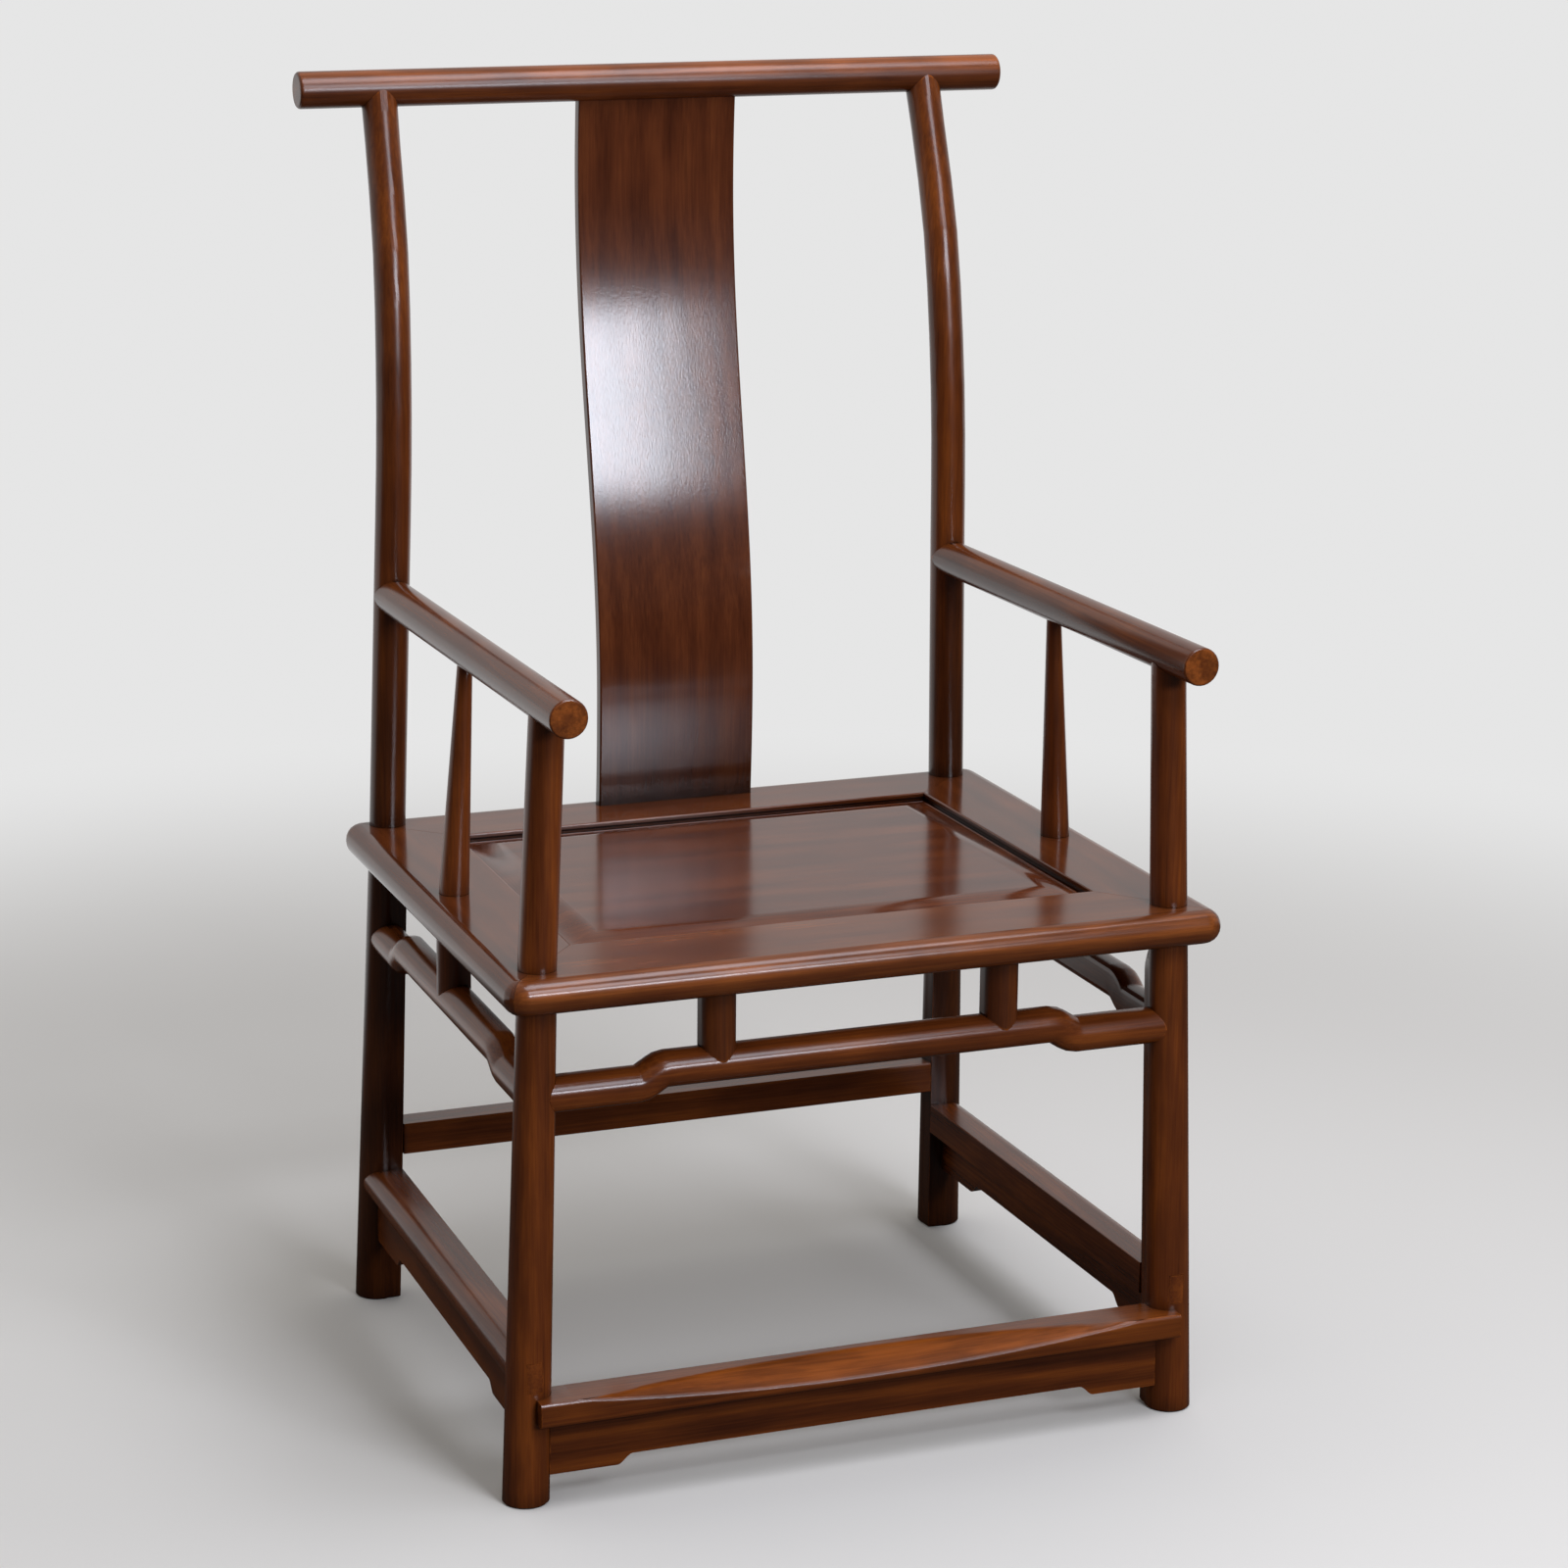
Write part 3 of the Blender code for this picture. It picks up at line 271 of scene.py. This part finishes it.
# Rear legs and posts
# Also one length each, from the floor through the seat frame to the crest rail. Above the seat
# the post is turned and bent back in a long curve, and its head is scribed to the rail.
rear_tones = ((0.062, 0.0126, 0.0026), (0.135, 0.0305, 0.0050), (0.255, 0.0615, 0.0081))
for order, name in enumerate(("left_rear_post", "right_rear_post")):
    rear_post = joined_piece(name)
    cut_rings(rear_post, Vector((0, 0, 1)), post_ring)
    # Lower down and below the arms the rear posts are painted darker, as shade.
    shaded(rear_post, lacquered_wood(name + "_wood", upright, start=2.6 + order,
                                     tones=rear_tones, gloss=0.25, painted_low_shade=(0.50, 0.80, 0.45)))
    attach(rear_post, "root")
    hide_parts(name)

# Humpback stretchers and their pillars
# Round-fronted bars tenoned between the legs, which step up near each leg to a raised middle.
# Short half-round pillars are scribed over them and carry the seat frame.
crosswise = (0, math.pi / 2, 0)
lengthwise = (math.pi / 2, 0, 0)
hump_ring = 0.012
hump_tones = ((0.068, 0.0144, 0.0034), (0.170, 0.0390, 0.0073), (0.330, 0.0830, 0.0125))
for order, (name, along, run) in enumerate((
        ("front_hump_stretcher", Vector((1, 0, 0)), crosswise),
        ("left_hump_stretcher", Vector((0, 1, 0)), lengthwise),
        ("right_hump_stretcher", Vector((0, 1, 0)), lengthwise))):
    hump = joined_piece(name)
    cut_rings(hump, along, hump_ring)
    shaded(hump, lacquered_wood(name + "_wood", run, start=5.2 + order,
                                tones=hump_tones, gloss=0.21))
    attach(hump, "root")
    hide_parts(name)
pillar_tones = ((0.050, 0.0103, 0.0025), (0.108, 0.0247, 0.0047), (0.205, 0.0500, 0.0078))
for order, name in enumerate(("front_left_pillar", "front_right_pillar", "left_pillar", "right_pillar")):
    pillar = joined_piece(name)
    cut_rings(pillar, Vector((0, 0, 1)), hump_ring)
    shaded(pillar, lacquered_wood(name + "_wood", upright, start=8.4 + order,
                                  tones=pillar_tones, gloss=0.28))
    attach(pillar, "root")
    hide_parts(name)

# Lower stretchers
# Three plain bars between the legs. The side bars pass through the front legs, where their
# tenons show as square ends, and the rear bar is set higher so that no two joints meet.
bar_ring = 0.030
for order, (name, along, run) in enumerate((
        ("left_lower_stretcher", Vector((0, 1, 0)), lengthwise),
        ("right_lower_stretcher", Vector((0, 1, 0)), lengthwise),
        ("rear_lower_stretcher", Vector((1, 0, 0)), crosswise))):
    bar = joined_piece(name)
    cut_rings(bar, along, bar_ring)
    shaded(bar, lacquered_wood(name + "_wood", run, start=12.3 + order,
                               tones=post_tones, gloss=0.26))
    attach(bar, "root")
    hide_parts(name)

# Aprons under the side stretchers and the footrest
# Thin boards of the same wood, tongued into the underside of the bar above. The lower edge
# steps down by a small curve near each leg.
for order, (name, run) in enumerate((
        ("left_stretcher_apron", lengthwise),
        ("right_stretcher_apron", lengthwise),
        ("footrest_apron", crosswise))):
    apron = joined_piece(name)
    shaded(apron, lacquered_wood(name + "_wood", run, start=15.8 + order,
                                 tones=rear_tones, gloss=0.24, figure=0.20))
    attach(apron, "root")
    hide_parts(name)

# Footrest
# A board notched round the front legs. Feet have worn a long leaf-shaped hollow into its front
# edge, through the stain to the lighter wood, and rubbed the new arris round.
rest_ring = 0.020
rest_arris = 0.0024
rest_rim = 0.0035
rest_angle = math.radians(24)
rest_tones = ((0.068, 0.0145, 0.0030), (0.170, 0.0395, 0.0060), (0.285, 0.0700, 0.0088))
hollow_half = 0.225
arris_wander = 0.004
touching = 0.0001
face_on = 0.95                  # a normal's part past which a face looks that way
slope_up, slope_front = 0.5, 0.2
rest_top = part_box("footrest")[1][2]
footrest = joined_piece("footrest")
cut_rings(footrest, Vector((1, 0, 0)), rest_ring)


def ease_edges(piece, chosen, width, steps):
    """Round the edges of a piece that pass a test on their two ends and two faces."""
    bpy.ops.object.mode_set(mode="EDIT")
    bpy.ops.mesh.select_mode(type="EDGE")
    bpy.ops.mesh.select_all(action="DESELECT")
    mesh = bmesh.from_edit_mesh(piece.data)
    for edge in mesh.edges:
        if len(edge.link_faces) == 2 and chosen(edge):
            edge.select = True
    mesh.select_flush_mode()
    bmesh.update_edit_mesh(piece.data)
    bpy.ops.mesh.bevel(offset=width, segments=steps, affect="EDGES", clamp_overlap=False)
    bpy.ops.mesh.select_mode(type="VERT")
    bpy.ops.object.mode_set(mode="OBJECT")


def touches_slope(edge):
    """Whether one face beside the edge is the hollow's, which looks up and to the front."""
    return any(slope_up < face.normal.z < face_on and face.normal.y < -slope_front
               for face in edge.link_faces)


def on_worn_arris(edge):
    """The front arris inside the hollow, between the worn slope and the upright face."""
    upright_face = min(face.normal.y for face in edge.link_faces) < -face_on
    climb = abs(edge.verts[0].co.z - edge.verts[1].co.z)
    return upright_face and touches_slope(edge) and climb < arris_wander


def on_hollow_rim(edge):
    """The rim of the hollow on the flat top, away from its thin ends."""
    level = all(abs(vert.co.z - rest_top) < touching for vert in edge.verts)
    inside = all(abs(vert.co.x) < hollow_half for vert in edge.verts)
    return level and touches_slope(edge) and inside


ease_edges(footrest, on_worn_arris, width=rest_arris, steps=4)
ease_edges(footrest, on_hollow_rim, width=rest_rim, steps=3)
shaded(footrest, lacquered_wood("footrest_wood", crosswise, start=19.1, tones=rest_tones, gloss=0.24,
                                worn_and_lit=((0, -0.47, 0.88), 0.45, 0.10)), rest_angle)
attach(footrest, "root")
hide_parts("footrest")

# Seat panel and its battens
# A solid board that floats in the grooves of the frame. Its sunken edge has a fine bead, and
# the border slopes up to the raised field. Two dovetailed battens cross it underneath.
panel_tongue = 0.0077
panel_lip = 0.0008
opening_front_half = 0.2507
opening_rear_half = 0.2415
panel_taper_share = (opening_rear_half + panel_tongue) / (opening_front_half + panel_tongue)
panel_bead_place = 0.0014
panel_bead_width = 0.0007
panel_bead_rise = 0.0008
panel_flat = 0.007
panel_slope = 0.030
panel_rise = 0.0070
tongue_thickness = 0.005
slope_steps = 10
panel_tones = ((0.056, 0.0122, 0.0042), (0.108, 0.0250, 0.0074), (0.185, 0.0455, 0.0115))
panel_low, panel_high = (Vector(corner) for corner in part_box("seat_panel"))
tongue_top = panel_high.z - panel_rise
battens = []
for order, name in enumerate(("left_seat_batten", "right_seat_batten")):
    batten = joined_piece(name)
    shaded(batten, lacquered_wood(name + "_wood", lengthwise, start=21.4 + order,
                                  tones=post_tones, gloss=0.35))
    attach(batten, "root")
    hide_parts(name)
    battens.append(batten)

bpy.ops.object.select_all(action="DESELECT")
panel_middle = (panel_low.y + panel_high.y) / 2
bpy.ops.mesh.primitive_cube_add(size=1, location=(0, panel_middle, tongue_top - tongue_thickness / 2))
panel = bpy.context.active_object
panel.name = "floating_seat_panel"
panel.scale = (panel_high.x - panel_low.x, panel_high.y - panel_low.y, tongue_thickness)
bpy.ops.object.transform_apply(location=True, rotation=True, scale=True)


def pick_faces(piece, chosen):
    """In edit mode, select the faces that pass a test."""
    bpy.ops.mesh.select_mode(type="FACE")
    bpy.ops.mesh.select_all(action="DESELECT")
    mesh = bmesh.from_edit_mesh(piece.data)
    for face in mesh.faces:
        face.select = bool(chosen(face))
    mesh.select_flush_mode()
    bmesh.update_edit_mesh(piece.data)


bpy.ops.object.mode_set(mode="EDIT")
pick_faces(panel, lambda face: face.normal.y > face_on)
bpy.ops.transform.resize(value=(panel_taper_share, 1, 1),
                         center_override=(0, panel_high.y, tongue_top))
pick_faces(panel, lambda face: face.normal.z < -face_on)
bpy.ops.mesh.inset(thickness=panel_tongue + panel_lip)
bpy.ops.mesh.extrude_region_move(
    TRANSFORM_OT_translate={"value": (0, 0, panel_low.z - tongue_top + tongue_thickness)})
pick_faces(panel, lambda face: face.normal.z > face_on)
bpy.ops.mesh.inset(thickness=panel_tongue + panel_bead_place)
bpy.ops.mesh.inset(thickness=panel_bead_width / 2, depth=panel_bead_rise)
bpy.ops.mesh.inset(thickness=panel_bead_width)
bpy.ops.mesh.inset(thickness=panel_bead_width / 2, depth=-panel_bead_rise)
bpy.ops.mesh.inset(thickness=panel_flat - panel_bead_place - 2 * panel_bead_width)
for step in range(slope_steps):
    before, after = step / slope_steps, (step + 1) / slope_steps
    climb = after * after * (3 - 2 * after) - before * before * (3 - 2 * before)    # a soft S
    bpy.ops.mesh.inset(thickness=panel_slope / slope_steps, depth=panel_rise * climb)
bpy.ops.object.mode_set(mode="OBJECT")
for batten in battens:
    channel = panel.modifiers.new("channel", "BOOLEAN")
    channel.operation = "DIFFERENCE"
    channel.solver = "EXACT"
    channel.object = batten
    bpy.context.view_layer.objects.active = panel
    bpy.ops.object.modifier_apply(modifier=channel.name)
shaded(panel, lacquered_wood("seat_panel_wood", crosswise, start=24.7, tones=panel_tones, gloss=0.15,
                             lined=0.25, ripple=0.0001))
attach(panel, "root")
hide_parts("seat_panel")

# Seat rails
# Four wide rails, mitred and tenoned at the corners, with a full bullnose outside. The inner
# arris is rounded, and a quirk below it makes the edge over the sunken panel read as a bead.
rail_arris = 0.0016
bead_height = 0.0050
bead_turn = 0.0014
quirk_depth = 0.0013
groove_lap = 0.001
shortest_arris = 0.1
leaning = 0.1                   # a normal's height past which a face isn't upright
rail_tones = ((0.066, 0.0150, 0.0041), (0.122, 0.0290, 0.0071), (0.200, 0.0500, 0.0105))
nose_tones = ((0.075, 0.0170, 0.0046), (0.140, 0.0340, 0.0080), (0.250, 0.0680, 0.0130))
rail_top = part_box("seat_front_rail")[1][2]
seat_middle = Vector((0, panel_middle, 0))
opening_low = panel_low + Vector((panel_tongue, panel_tongue, 0))
opening_high = panel_high - Vector((panel_tongue, panel_tongue, 0))
quirk_floor = tongue_top - groove_lap
quirk_top = rail_top - bead_height
bpy.ops.object.select_all(action="DESELECT")
bpy.ops.mesh.primitive_cube_add(size=1, location=(0, panel_middle, (quirk_top + quirk_floor) / 2))
quirk = bpy.context.active_object
quirk.name = "quirk_cutter"
quirk.scale = (opening_high.x - opening_low.x + 2 * quirk_depth,
               opening_high.y - opening_low.y + 2 * quirk_depth, quirk_top - quirk_floor)
bpy.ops.object.transform_apply(location=True, rotation=True, scale=True)
bpy.ops.object.mode_set(mode="EDIT")
pick_faces(quirk, lambda face: face.normal.y > face_on)
bpy.ops.transform.resize(value=(panel_taper_share, 1, 1),
                         center_override=(0, opening_high.y, quirk_floor))
bpy.ops.object.mode_set(mode="OBJECT")


def faces_the_panel(normal, place):
    """Whether an upright face there looks at the panel, and not along a mitre."""
    inward = (seat_middle - place) * Vector((1, 1, 0))
    square = max((Vector((1, 0, 0)), Vector((-1, 0, 0)), Vector((0, 1, 0)), Vector((0, -1, 0))),
                 key=lambda way: way.dot(normal))
    return abs(normal.z) < leaning and square.dot(normal) > face_on and square.dot(inward) > 0


def runs_at(edge, height):
    """Whether an edge runs along the rail at this height, on the side of the panel."""
    ends = [vert.co for vert in edge.verts]
    return (all(abs(place.z - height) < touching for place in ends)
            and edge.calc_length() > shortest_arris
            and any(faces_the_panel(face.normal, ends[0]) for face in edge.link_faces))


# The front rail's upper nose is painted lighter, partly as stain worn by legs and partly as painted
# light falling from above.
for order, (name, run, tones, gloss, worn_and_lit) in enumerate((
        ("seat_front_rail", crosswise, nose_tones, 0.21, ((0, -0.80, 0.60), 0.60, 0.34)),
        ("seat_left_rail", lengthwise, rail_tones, 0.13, None),
        ("seat_right_rail", lengthwise, rail_tones, 0.13, None),
        ("seat_rear_rail", crosswise, rail_tones, 0.13, None))):
    rail = joined_piece(name)
    sunk = rail.modifiers.new("quirk", "BOOLEAN")
    sunk.operation = "DIFFERENCE"
    sunk.solver = "EXACT"
    sunk.object = quirk
    bpy.context.view_layer.objects.active = rail
    bpy.ops.object.modifier_apply(modifier=sunk.name)
    ease_edges(rail, lambda edge: runs_at(edge, rail_top), width=rail_arris, steps=4)
    ease_edges(rail, lambda edge: runs_at(edge, quirk_top), width=bead_turn, steps=4)
    shaded(rail, lacquered_wood(name + "_wood", run, start=26.2 + order,
                                tones=tones, gloss=gloss, lined=0.25, worn_and_lit=worn_and_lit))
    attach(rail, "root")
    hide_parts(name)
bpy.data.objects.remove(quirk)

# Back splat
# One wide board, sawn to a long S that follows the sitter's back, slotted into the rear rail
# and the crest rail. Its lacquer is thick and slightly pebbled, and it shows a tall figure.
splat_width = 0.159
splat_thickness = 0.0125
belly_height = 0.600
belly_depth = 0.2389
shoulder_height = 1.095
shoulder_depth = 0.3027
foot_share = 0.52               # how much of the wave is left below the belly
head_share = 0.87               # and above the shoulder
splat_arris = 0.0022
splat_rows = 72
splat_tones = ((0.050, 0.0116, 0.0045), (0.103, 0.0255, 0.0084), (0.170, 0.0455, 0.0135))
splat_low, splat_high = (Vector(corner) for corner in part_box("back_splat"))


def splat_middle(height):
    """Middle of the board's thickness: half a wave from the belly back to the shoulder."""
    risen = (height - belly_height) / (shoulder_height - belly_height)
    swing = (shoulder_depth - belly_depth) * (1 - math.cos(math.pi * risen)) / 2
    if risen < 0:
        return belly_depth + foot_share * swing
    if risen > 1:
        return shoulder_depth - head_share * (shoulder_depth - belly_depth - swing)
    return belly_depth + swing


bpy.ops.object.select_all(action="DESELECT")
bpy.ops.mesh.primitive_plane_add(size=1, location=(0, splat_middle(splat_low.z), splat_low.z))
splat = bpy.context.active_object
splat.name = "bent_back_splat"
splat.scale = (splat_width, splat_thickness, 1)
bpy.ops.object.transform_apply(location=True, rotation=True, scale=True)
bpy.ops.object.mode_set(mode="EDIT")
bpy.ops.mesh.select_all(action="SELECT")
bpy.ops.mesh.bevel(offset=splat_arris, segments=4, affect="VERTICES")
row_height = (splat_high.z - splat_low.z) / splat_rows
lean = 0.0
for row in range(1, splat_rows + 1):
    height = splat_low.z + row_height * row
    middle = splat_middle(height)
    shift = middle - splat_middle(height - row_height)
    bpy.ops.mesh.extrude_region_move(TRANSFORM_OT_translate={"value": (0, shift, row_height)})
    rise = splat_middle(height + row_height / 2) - splat_middle(height - row_height / 2)
    new_lean = math.atan2(rise, row_height) if row < splat_rows else 0.0
    bpy.ops.transform.rotate(value=new_lean - lean, orient_axis="X", center_override=(0, middle, height))
    lean = new_lean
bpy.ops.mesh.select_all(action="SELECT")
bpy.ops.mesh.normals_make_consistent(inside=False)
bpy.ops.object.mode_set(mode="OBJECT")
# The splat is painted darker towards its foot, as shade over the seat.
shaded(splat, lacquered_wood("splat_wood", upright, start=31.3, tones=splat_tones, gloss=0.12,
                             ripple=0.00006, pebble=0.00003, painted_low_shade=(0.47, 0.62, 0.25)))
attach(splat, "root")
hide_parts("back_splat")

# Crest rail
# A straight round rail, mortised underneath for the posts and slotted for the splat. Its ends
# are cut square with an eased rim. Its upper front is painted a little lighter, partly as stain
# that hands have rubbed and partly as painted light falling from above.
crest_tones = ((0.056, 0.0116, 0.0029), (0.138, 0.0318, 0.0060), (0.275, 0.0680, 0.0105))
crest_rail = joined_piece("crest_rail")
cut_rings(crest_rail, Vector((1, 0, 0)), bar_ring)
shaded(crest_rail, lacquered_wood("crest_rail_wood", crosswise, start=33.6, tones=crest_tones,
                                  gloss=0.27, worn_and_lit=((0, -0.45, 0.89), 0.55, 0.45)))
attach(crest_rail, "root")
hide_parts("crest_rail")

# Arms
# Straight round rails, tenoned into the rear posts and resting on the front posts. They run on
# past the front posts and end square, with a bright worn face inside a dark rim.
arm_tones = ((0.055, 0.0112, 0.0028), (0.120, 0.0280, 0.0056), (0.235, 0.0600, 0.0096))
for order, name in enumerate(("left_arm", "right_arm")):
    arm = joined_piece(name)
    cut_rings(arm, Vector((0, 1, 0)), bar_ring)
    shaded(arm, lacquered_wood(name + "_wood", lengthwise, start=35.2 + order, tones=arm_tones,
                               gloss=0.21, ripple=0.0001, worn_and_lit=((0, -1, 0), 0.75, 0.10)))
    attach(arm, "root")
    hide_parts(name)

# Arm struts
# Slim struts, turned from the same wood. They stand on the side rails, taper all the way up
# and end in a pin under each arm.
strut_ring = 0.020
for order, name in enumerate(("left_arm_strut", "right_arm_strut")):
    strut = joined_piece(name)
    cut_rings(strut, Vector((0, 0, 1)), strut_ring)
    shaded(strut, lacquered_wood(name + "_wood", upright, start=38.5 + order,
                                 tones=post_tones, gloss=0.28))
    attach(strut, "root")
    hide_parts(name)

# Floor
# A plain pale studio floor that runs out to a paler distance on every side. The lacquer
# mirrors it dark in front, where no light falls on it, and pale behind the chair.
floor_size = 60.0
floor_near = (0.82, 0.785, 0.735)
floor_mirrored = (0.085, 0.074, 0.064)
pale_start, pale_end = 0.75, 1.35
distance_level = 0.79
pool_radius = 1.15
pool_fade = 1.3
bpy.ops.object.select_all(action="DESELECT")
bpy.ops.mesh.primitive_plane_add(size=floor_size, location=(0, 0, 0))
floor = bpy.context.active_object
floor.name = "floor"
paint = bpy.data.materials.new("floor_paint")
paint.use_nodes = True
nodes, links = paint.node_tree.nodes, paint.node_tree.links
nodes.clear()
spot = nodes.new("ShaderNodeTexCoord")
reach = nodes.new("ShaderNodeVectorMath")
reach.operation = "LENGTH"
links.new(spot.outputs["Object"], reach.inputs[0])
away = nodes.new("ShaderNodeMapRange")
away.interpolation_type = "SMOOTHSTEP"
away.inputs["From Min"].default_value = pool_radius
away.inputs["From Max"].default_value = pool_radius + pool_fade
links.new(reach.outputs["Value"], away.inputs["Value"])
near = nodes.new("ShaderNodeBsdfDiffuse")
near.inputs["Color"].default_value = (*floor_near, 1)
far = nodes.new("ShaderNodeEmission")
far.inputs["Color"].default_value = (distance_level, distance_level, distance_level, 1)
dull = nodes.new("ShaderNodeBsdfDiffuse")
dull.inputs["Color"].default_value = (*floor_mirrored, 1)
depth = nodes.new("ShaderNodeSeparateXYZ")
links.new(spot.outputs["Object"], depth.inputs["Vector"])
paling = nodes.new("ShaderNodeMapRange")
paling.interpolation_type = "SMOOTHSTEP"
paling.inputs["From Min"].default_value = pale_start
paling.inputs["From Max"].default_value = pale_end
links.new(depth.outputs["Y"], paling.inputs["Value"])
mirrored = nodes.new("ShaderNodeMixShader")
links.new(paling.outputs["Result"], mirrored.inputs["Fac"])
links.new(dull.outputs["BSDF"], mirrored.inputs[1])
links.new(far.outputs["Emission"], mirrored.inputs[2])
seen = nodes.new("ShaderNodeMixShader")
links.new(away.outputs["Result"], seen.inputs["Fac"])
links.new(near.outputs["BSDF"], seen.inputs[1])
links.new(far.outputs["Emission"], seen.inputs[2])
eye = nodes.new("ShaderNodeLightPath")
choice = nodes.new("ShaderNodeMixShader")
links.new(eye.outputs["Is Camera Ray"], choice.inputs["Fac"])
links.new(mirrored.outputs["Shader"], choice.inputs[1])
links.new(seen.outputs["Shader"], choice.inputs[2])
painted = nodes.new("ShaderNodeOutputMaterial")
links.new(choice.outputs["Shader"], painted.inputs["Surface"])
floor.data.materials.append(paint)

# Room and lamps
# The studio is dim in front of the chair and bright behind it, under a soft ceiling. A low wide
# lamp in front, a little to the right, gives the sharp highlights, and two softer ones hang
# above it and overhead.
behind_level, before_level, ceiling_level = 0.78, 0.09, 0.32
bright_start, bright_end = -0.45, 0.45
ceiling_start, ceiling_end = 0.45, 0.85
lamp_tint = (0.85, 0.895, 1.0)
room = bpy.data.worlds.new("room")
bpy.context.scene.world = room
room.use_nodes = True
nodes, links = room.node_tree.nodes, room.node_tree.links
nodes.clear()
way = nodes.new("ShaderNodeTexCoord")
parts = nodes.new("ShaderNodeSeparateXYZ")
links.new(way.outputs["Generated"], parts.inputs["Vector"])
behind = nodes.new("ShaderNodeMapRange")
for socket, value in (("From Min", bright_start), ("From Max", bright_end),
                      ("To Min", before_level), ("To Max", behind_level)):
    behind.inputs[socket].default_value = value
links.new(parts.outputs["Y"], behind.inputs["Value"])
ceiling = nodes.new("ShaderNodeMapRange")
for socket, value in (("From Min", ceiling_start), ("From Max", ceiling_end),
                      ("To Min", 0.0), ("To Max", ceiling_level)):
    ceiling.inputs[socket].default_value = value
links.new(parts.outputs["Z"], ceiling.inputs["Value"])
brightest = nodes.new("ShaderNodeMath")
brightest.operation = "MAXIMUM"
links.new(behind.outputs["Result"], brightest.inputs[0])
links.new(ceiling.outputs["Result"], brightest.inputs[1])
dim = nodes.new("ShaderNodeBackground")
links.new(brightest.outputs["Value"], dim.inputs["Strength"])
backdrop = nodes.new("ShaderNodeBackground")
backdrop.inputs["Color"].default_value = (distance_level, distance_level, distance_level, 1)
eye = nodes.new("ShaderNodeLightPath")
choice = nodes.new("ShaderNodeMixShader")
links.new(eye.outputs["Is Camera Ray"], choice.inputs["Fac"])
links.new(dim.outputs["Background"], choice.inputs[1])
links.new(backdrop.outputs["Background"], choice.inputs[2])
surround = nodes.new("ShaderNodeOutputWorld")
links.new(choice.outputs["Shader"], surround.inputs["Surface"])

for name, place, aim, width, height, power in (
        ("front_softbox", Vector((0.755, -3.60, 1.665)), Vector((0.1, 0, 0.85)), 1.21, 0.39, 43.5),
        ("high_softbox", Vector((0.70, -2.70, 2.65)), Vector((0, 0, 0.60)), 1.20, 1.10, 30),
        ("overhead_softbox", Vector((0.45, -0.70, 3.20)), Vector((0, 0, 0.60)), 1.80, 1.20, 42)):
    bpy.ops.object.light_add(type="AREA", location=place)
    lamp = bpy.context.active_object
    lamp.name = name
    lamp.data.shape = "RECTANGLE"
    lamp.data.color = lamp_tint
    lamp.data.size, lamp.data.size_y, lamp.data.energy = width, height, power
    lamp.rotation_euler = (aim - place).to_track_quat("-Z", "Y").to_euler()

# Camera
# At the height of the crest rail, in front and to the left, as the chair was photographed.
camera_place = Vector((-1.3601, -3.5516, 1.5749))
view_yaw, view_pitch, view_roll = 0.3712, 0.2595, 0.0099
sensor_width = 36.0
focal_pixels = 4310.8
picture_pixels = 1600
forward = Vector((math.sin(view_yaw) * math.cos(view_pitch),
                  math.cos(view_yaw) * math.cos(view_pitch), -math.sin(view_pitch)))
level = Vector((math.cos(view_yaw), -math.sin(view_yaw), 0))
above = level.cross(forward)
right = level * math.cos(view_roll) + above * math.sin(view_roll)
above = above * math.cos(view_roll) - level * math.sin(view_roll)
bpy.ops.object.camera_add()
camera = bpy.context.active_object
camera.name = "camera"
camera.data.sensor_width = sensor_width
camera.data.lens = focal_pixels / picture_pixels * sensor_width
axes = Matrix((right, above, -forward)).transposed()
camera.matrix_world = Matrix.Translation(camera_place) @ axes.to_4x4()
bpy.context.scene.camera = camera
bpy.context.scene.view_settings.view_transform = "Standard"
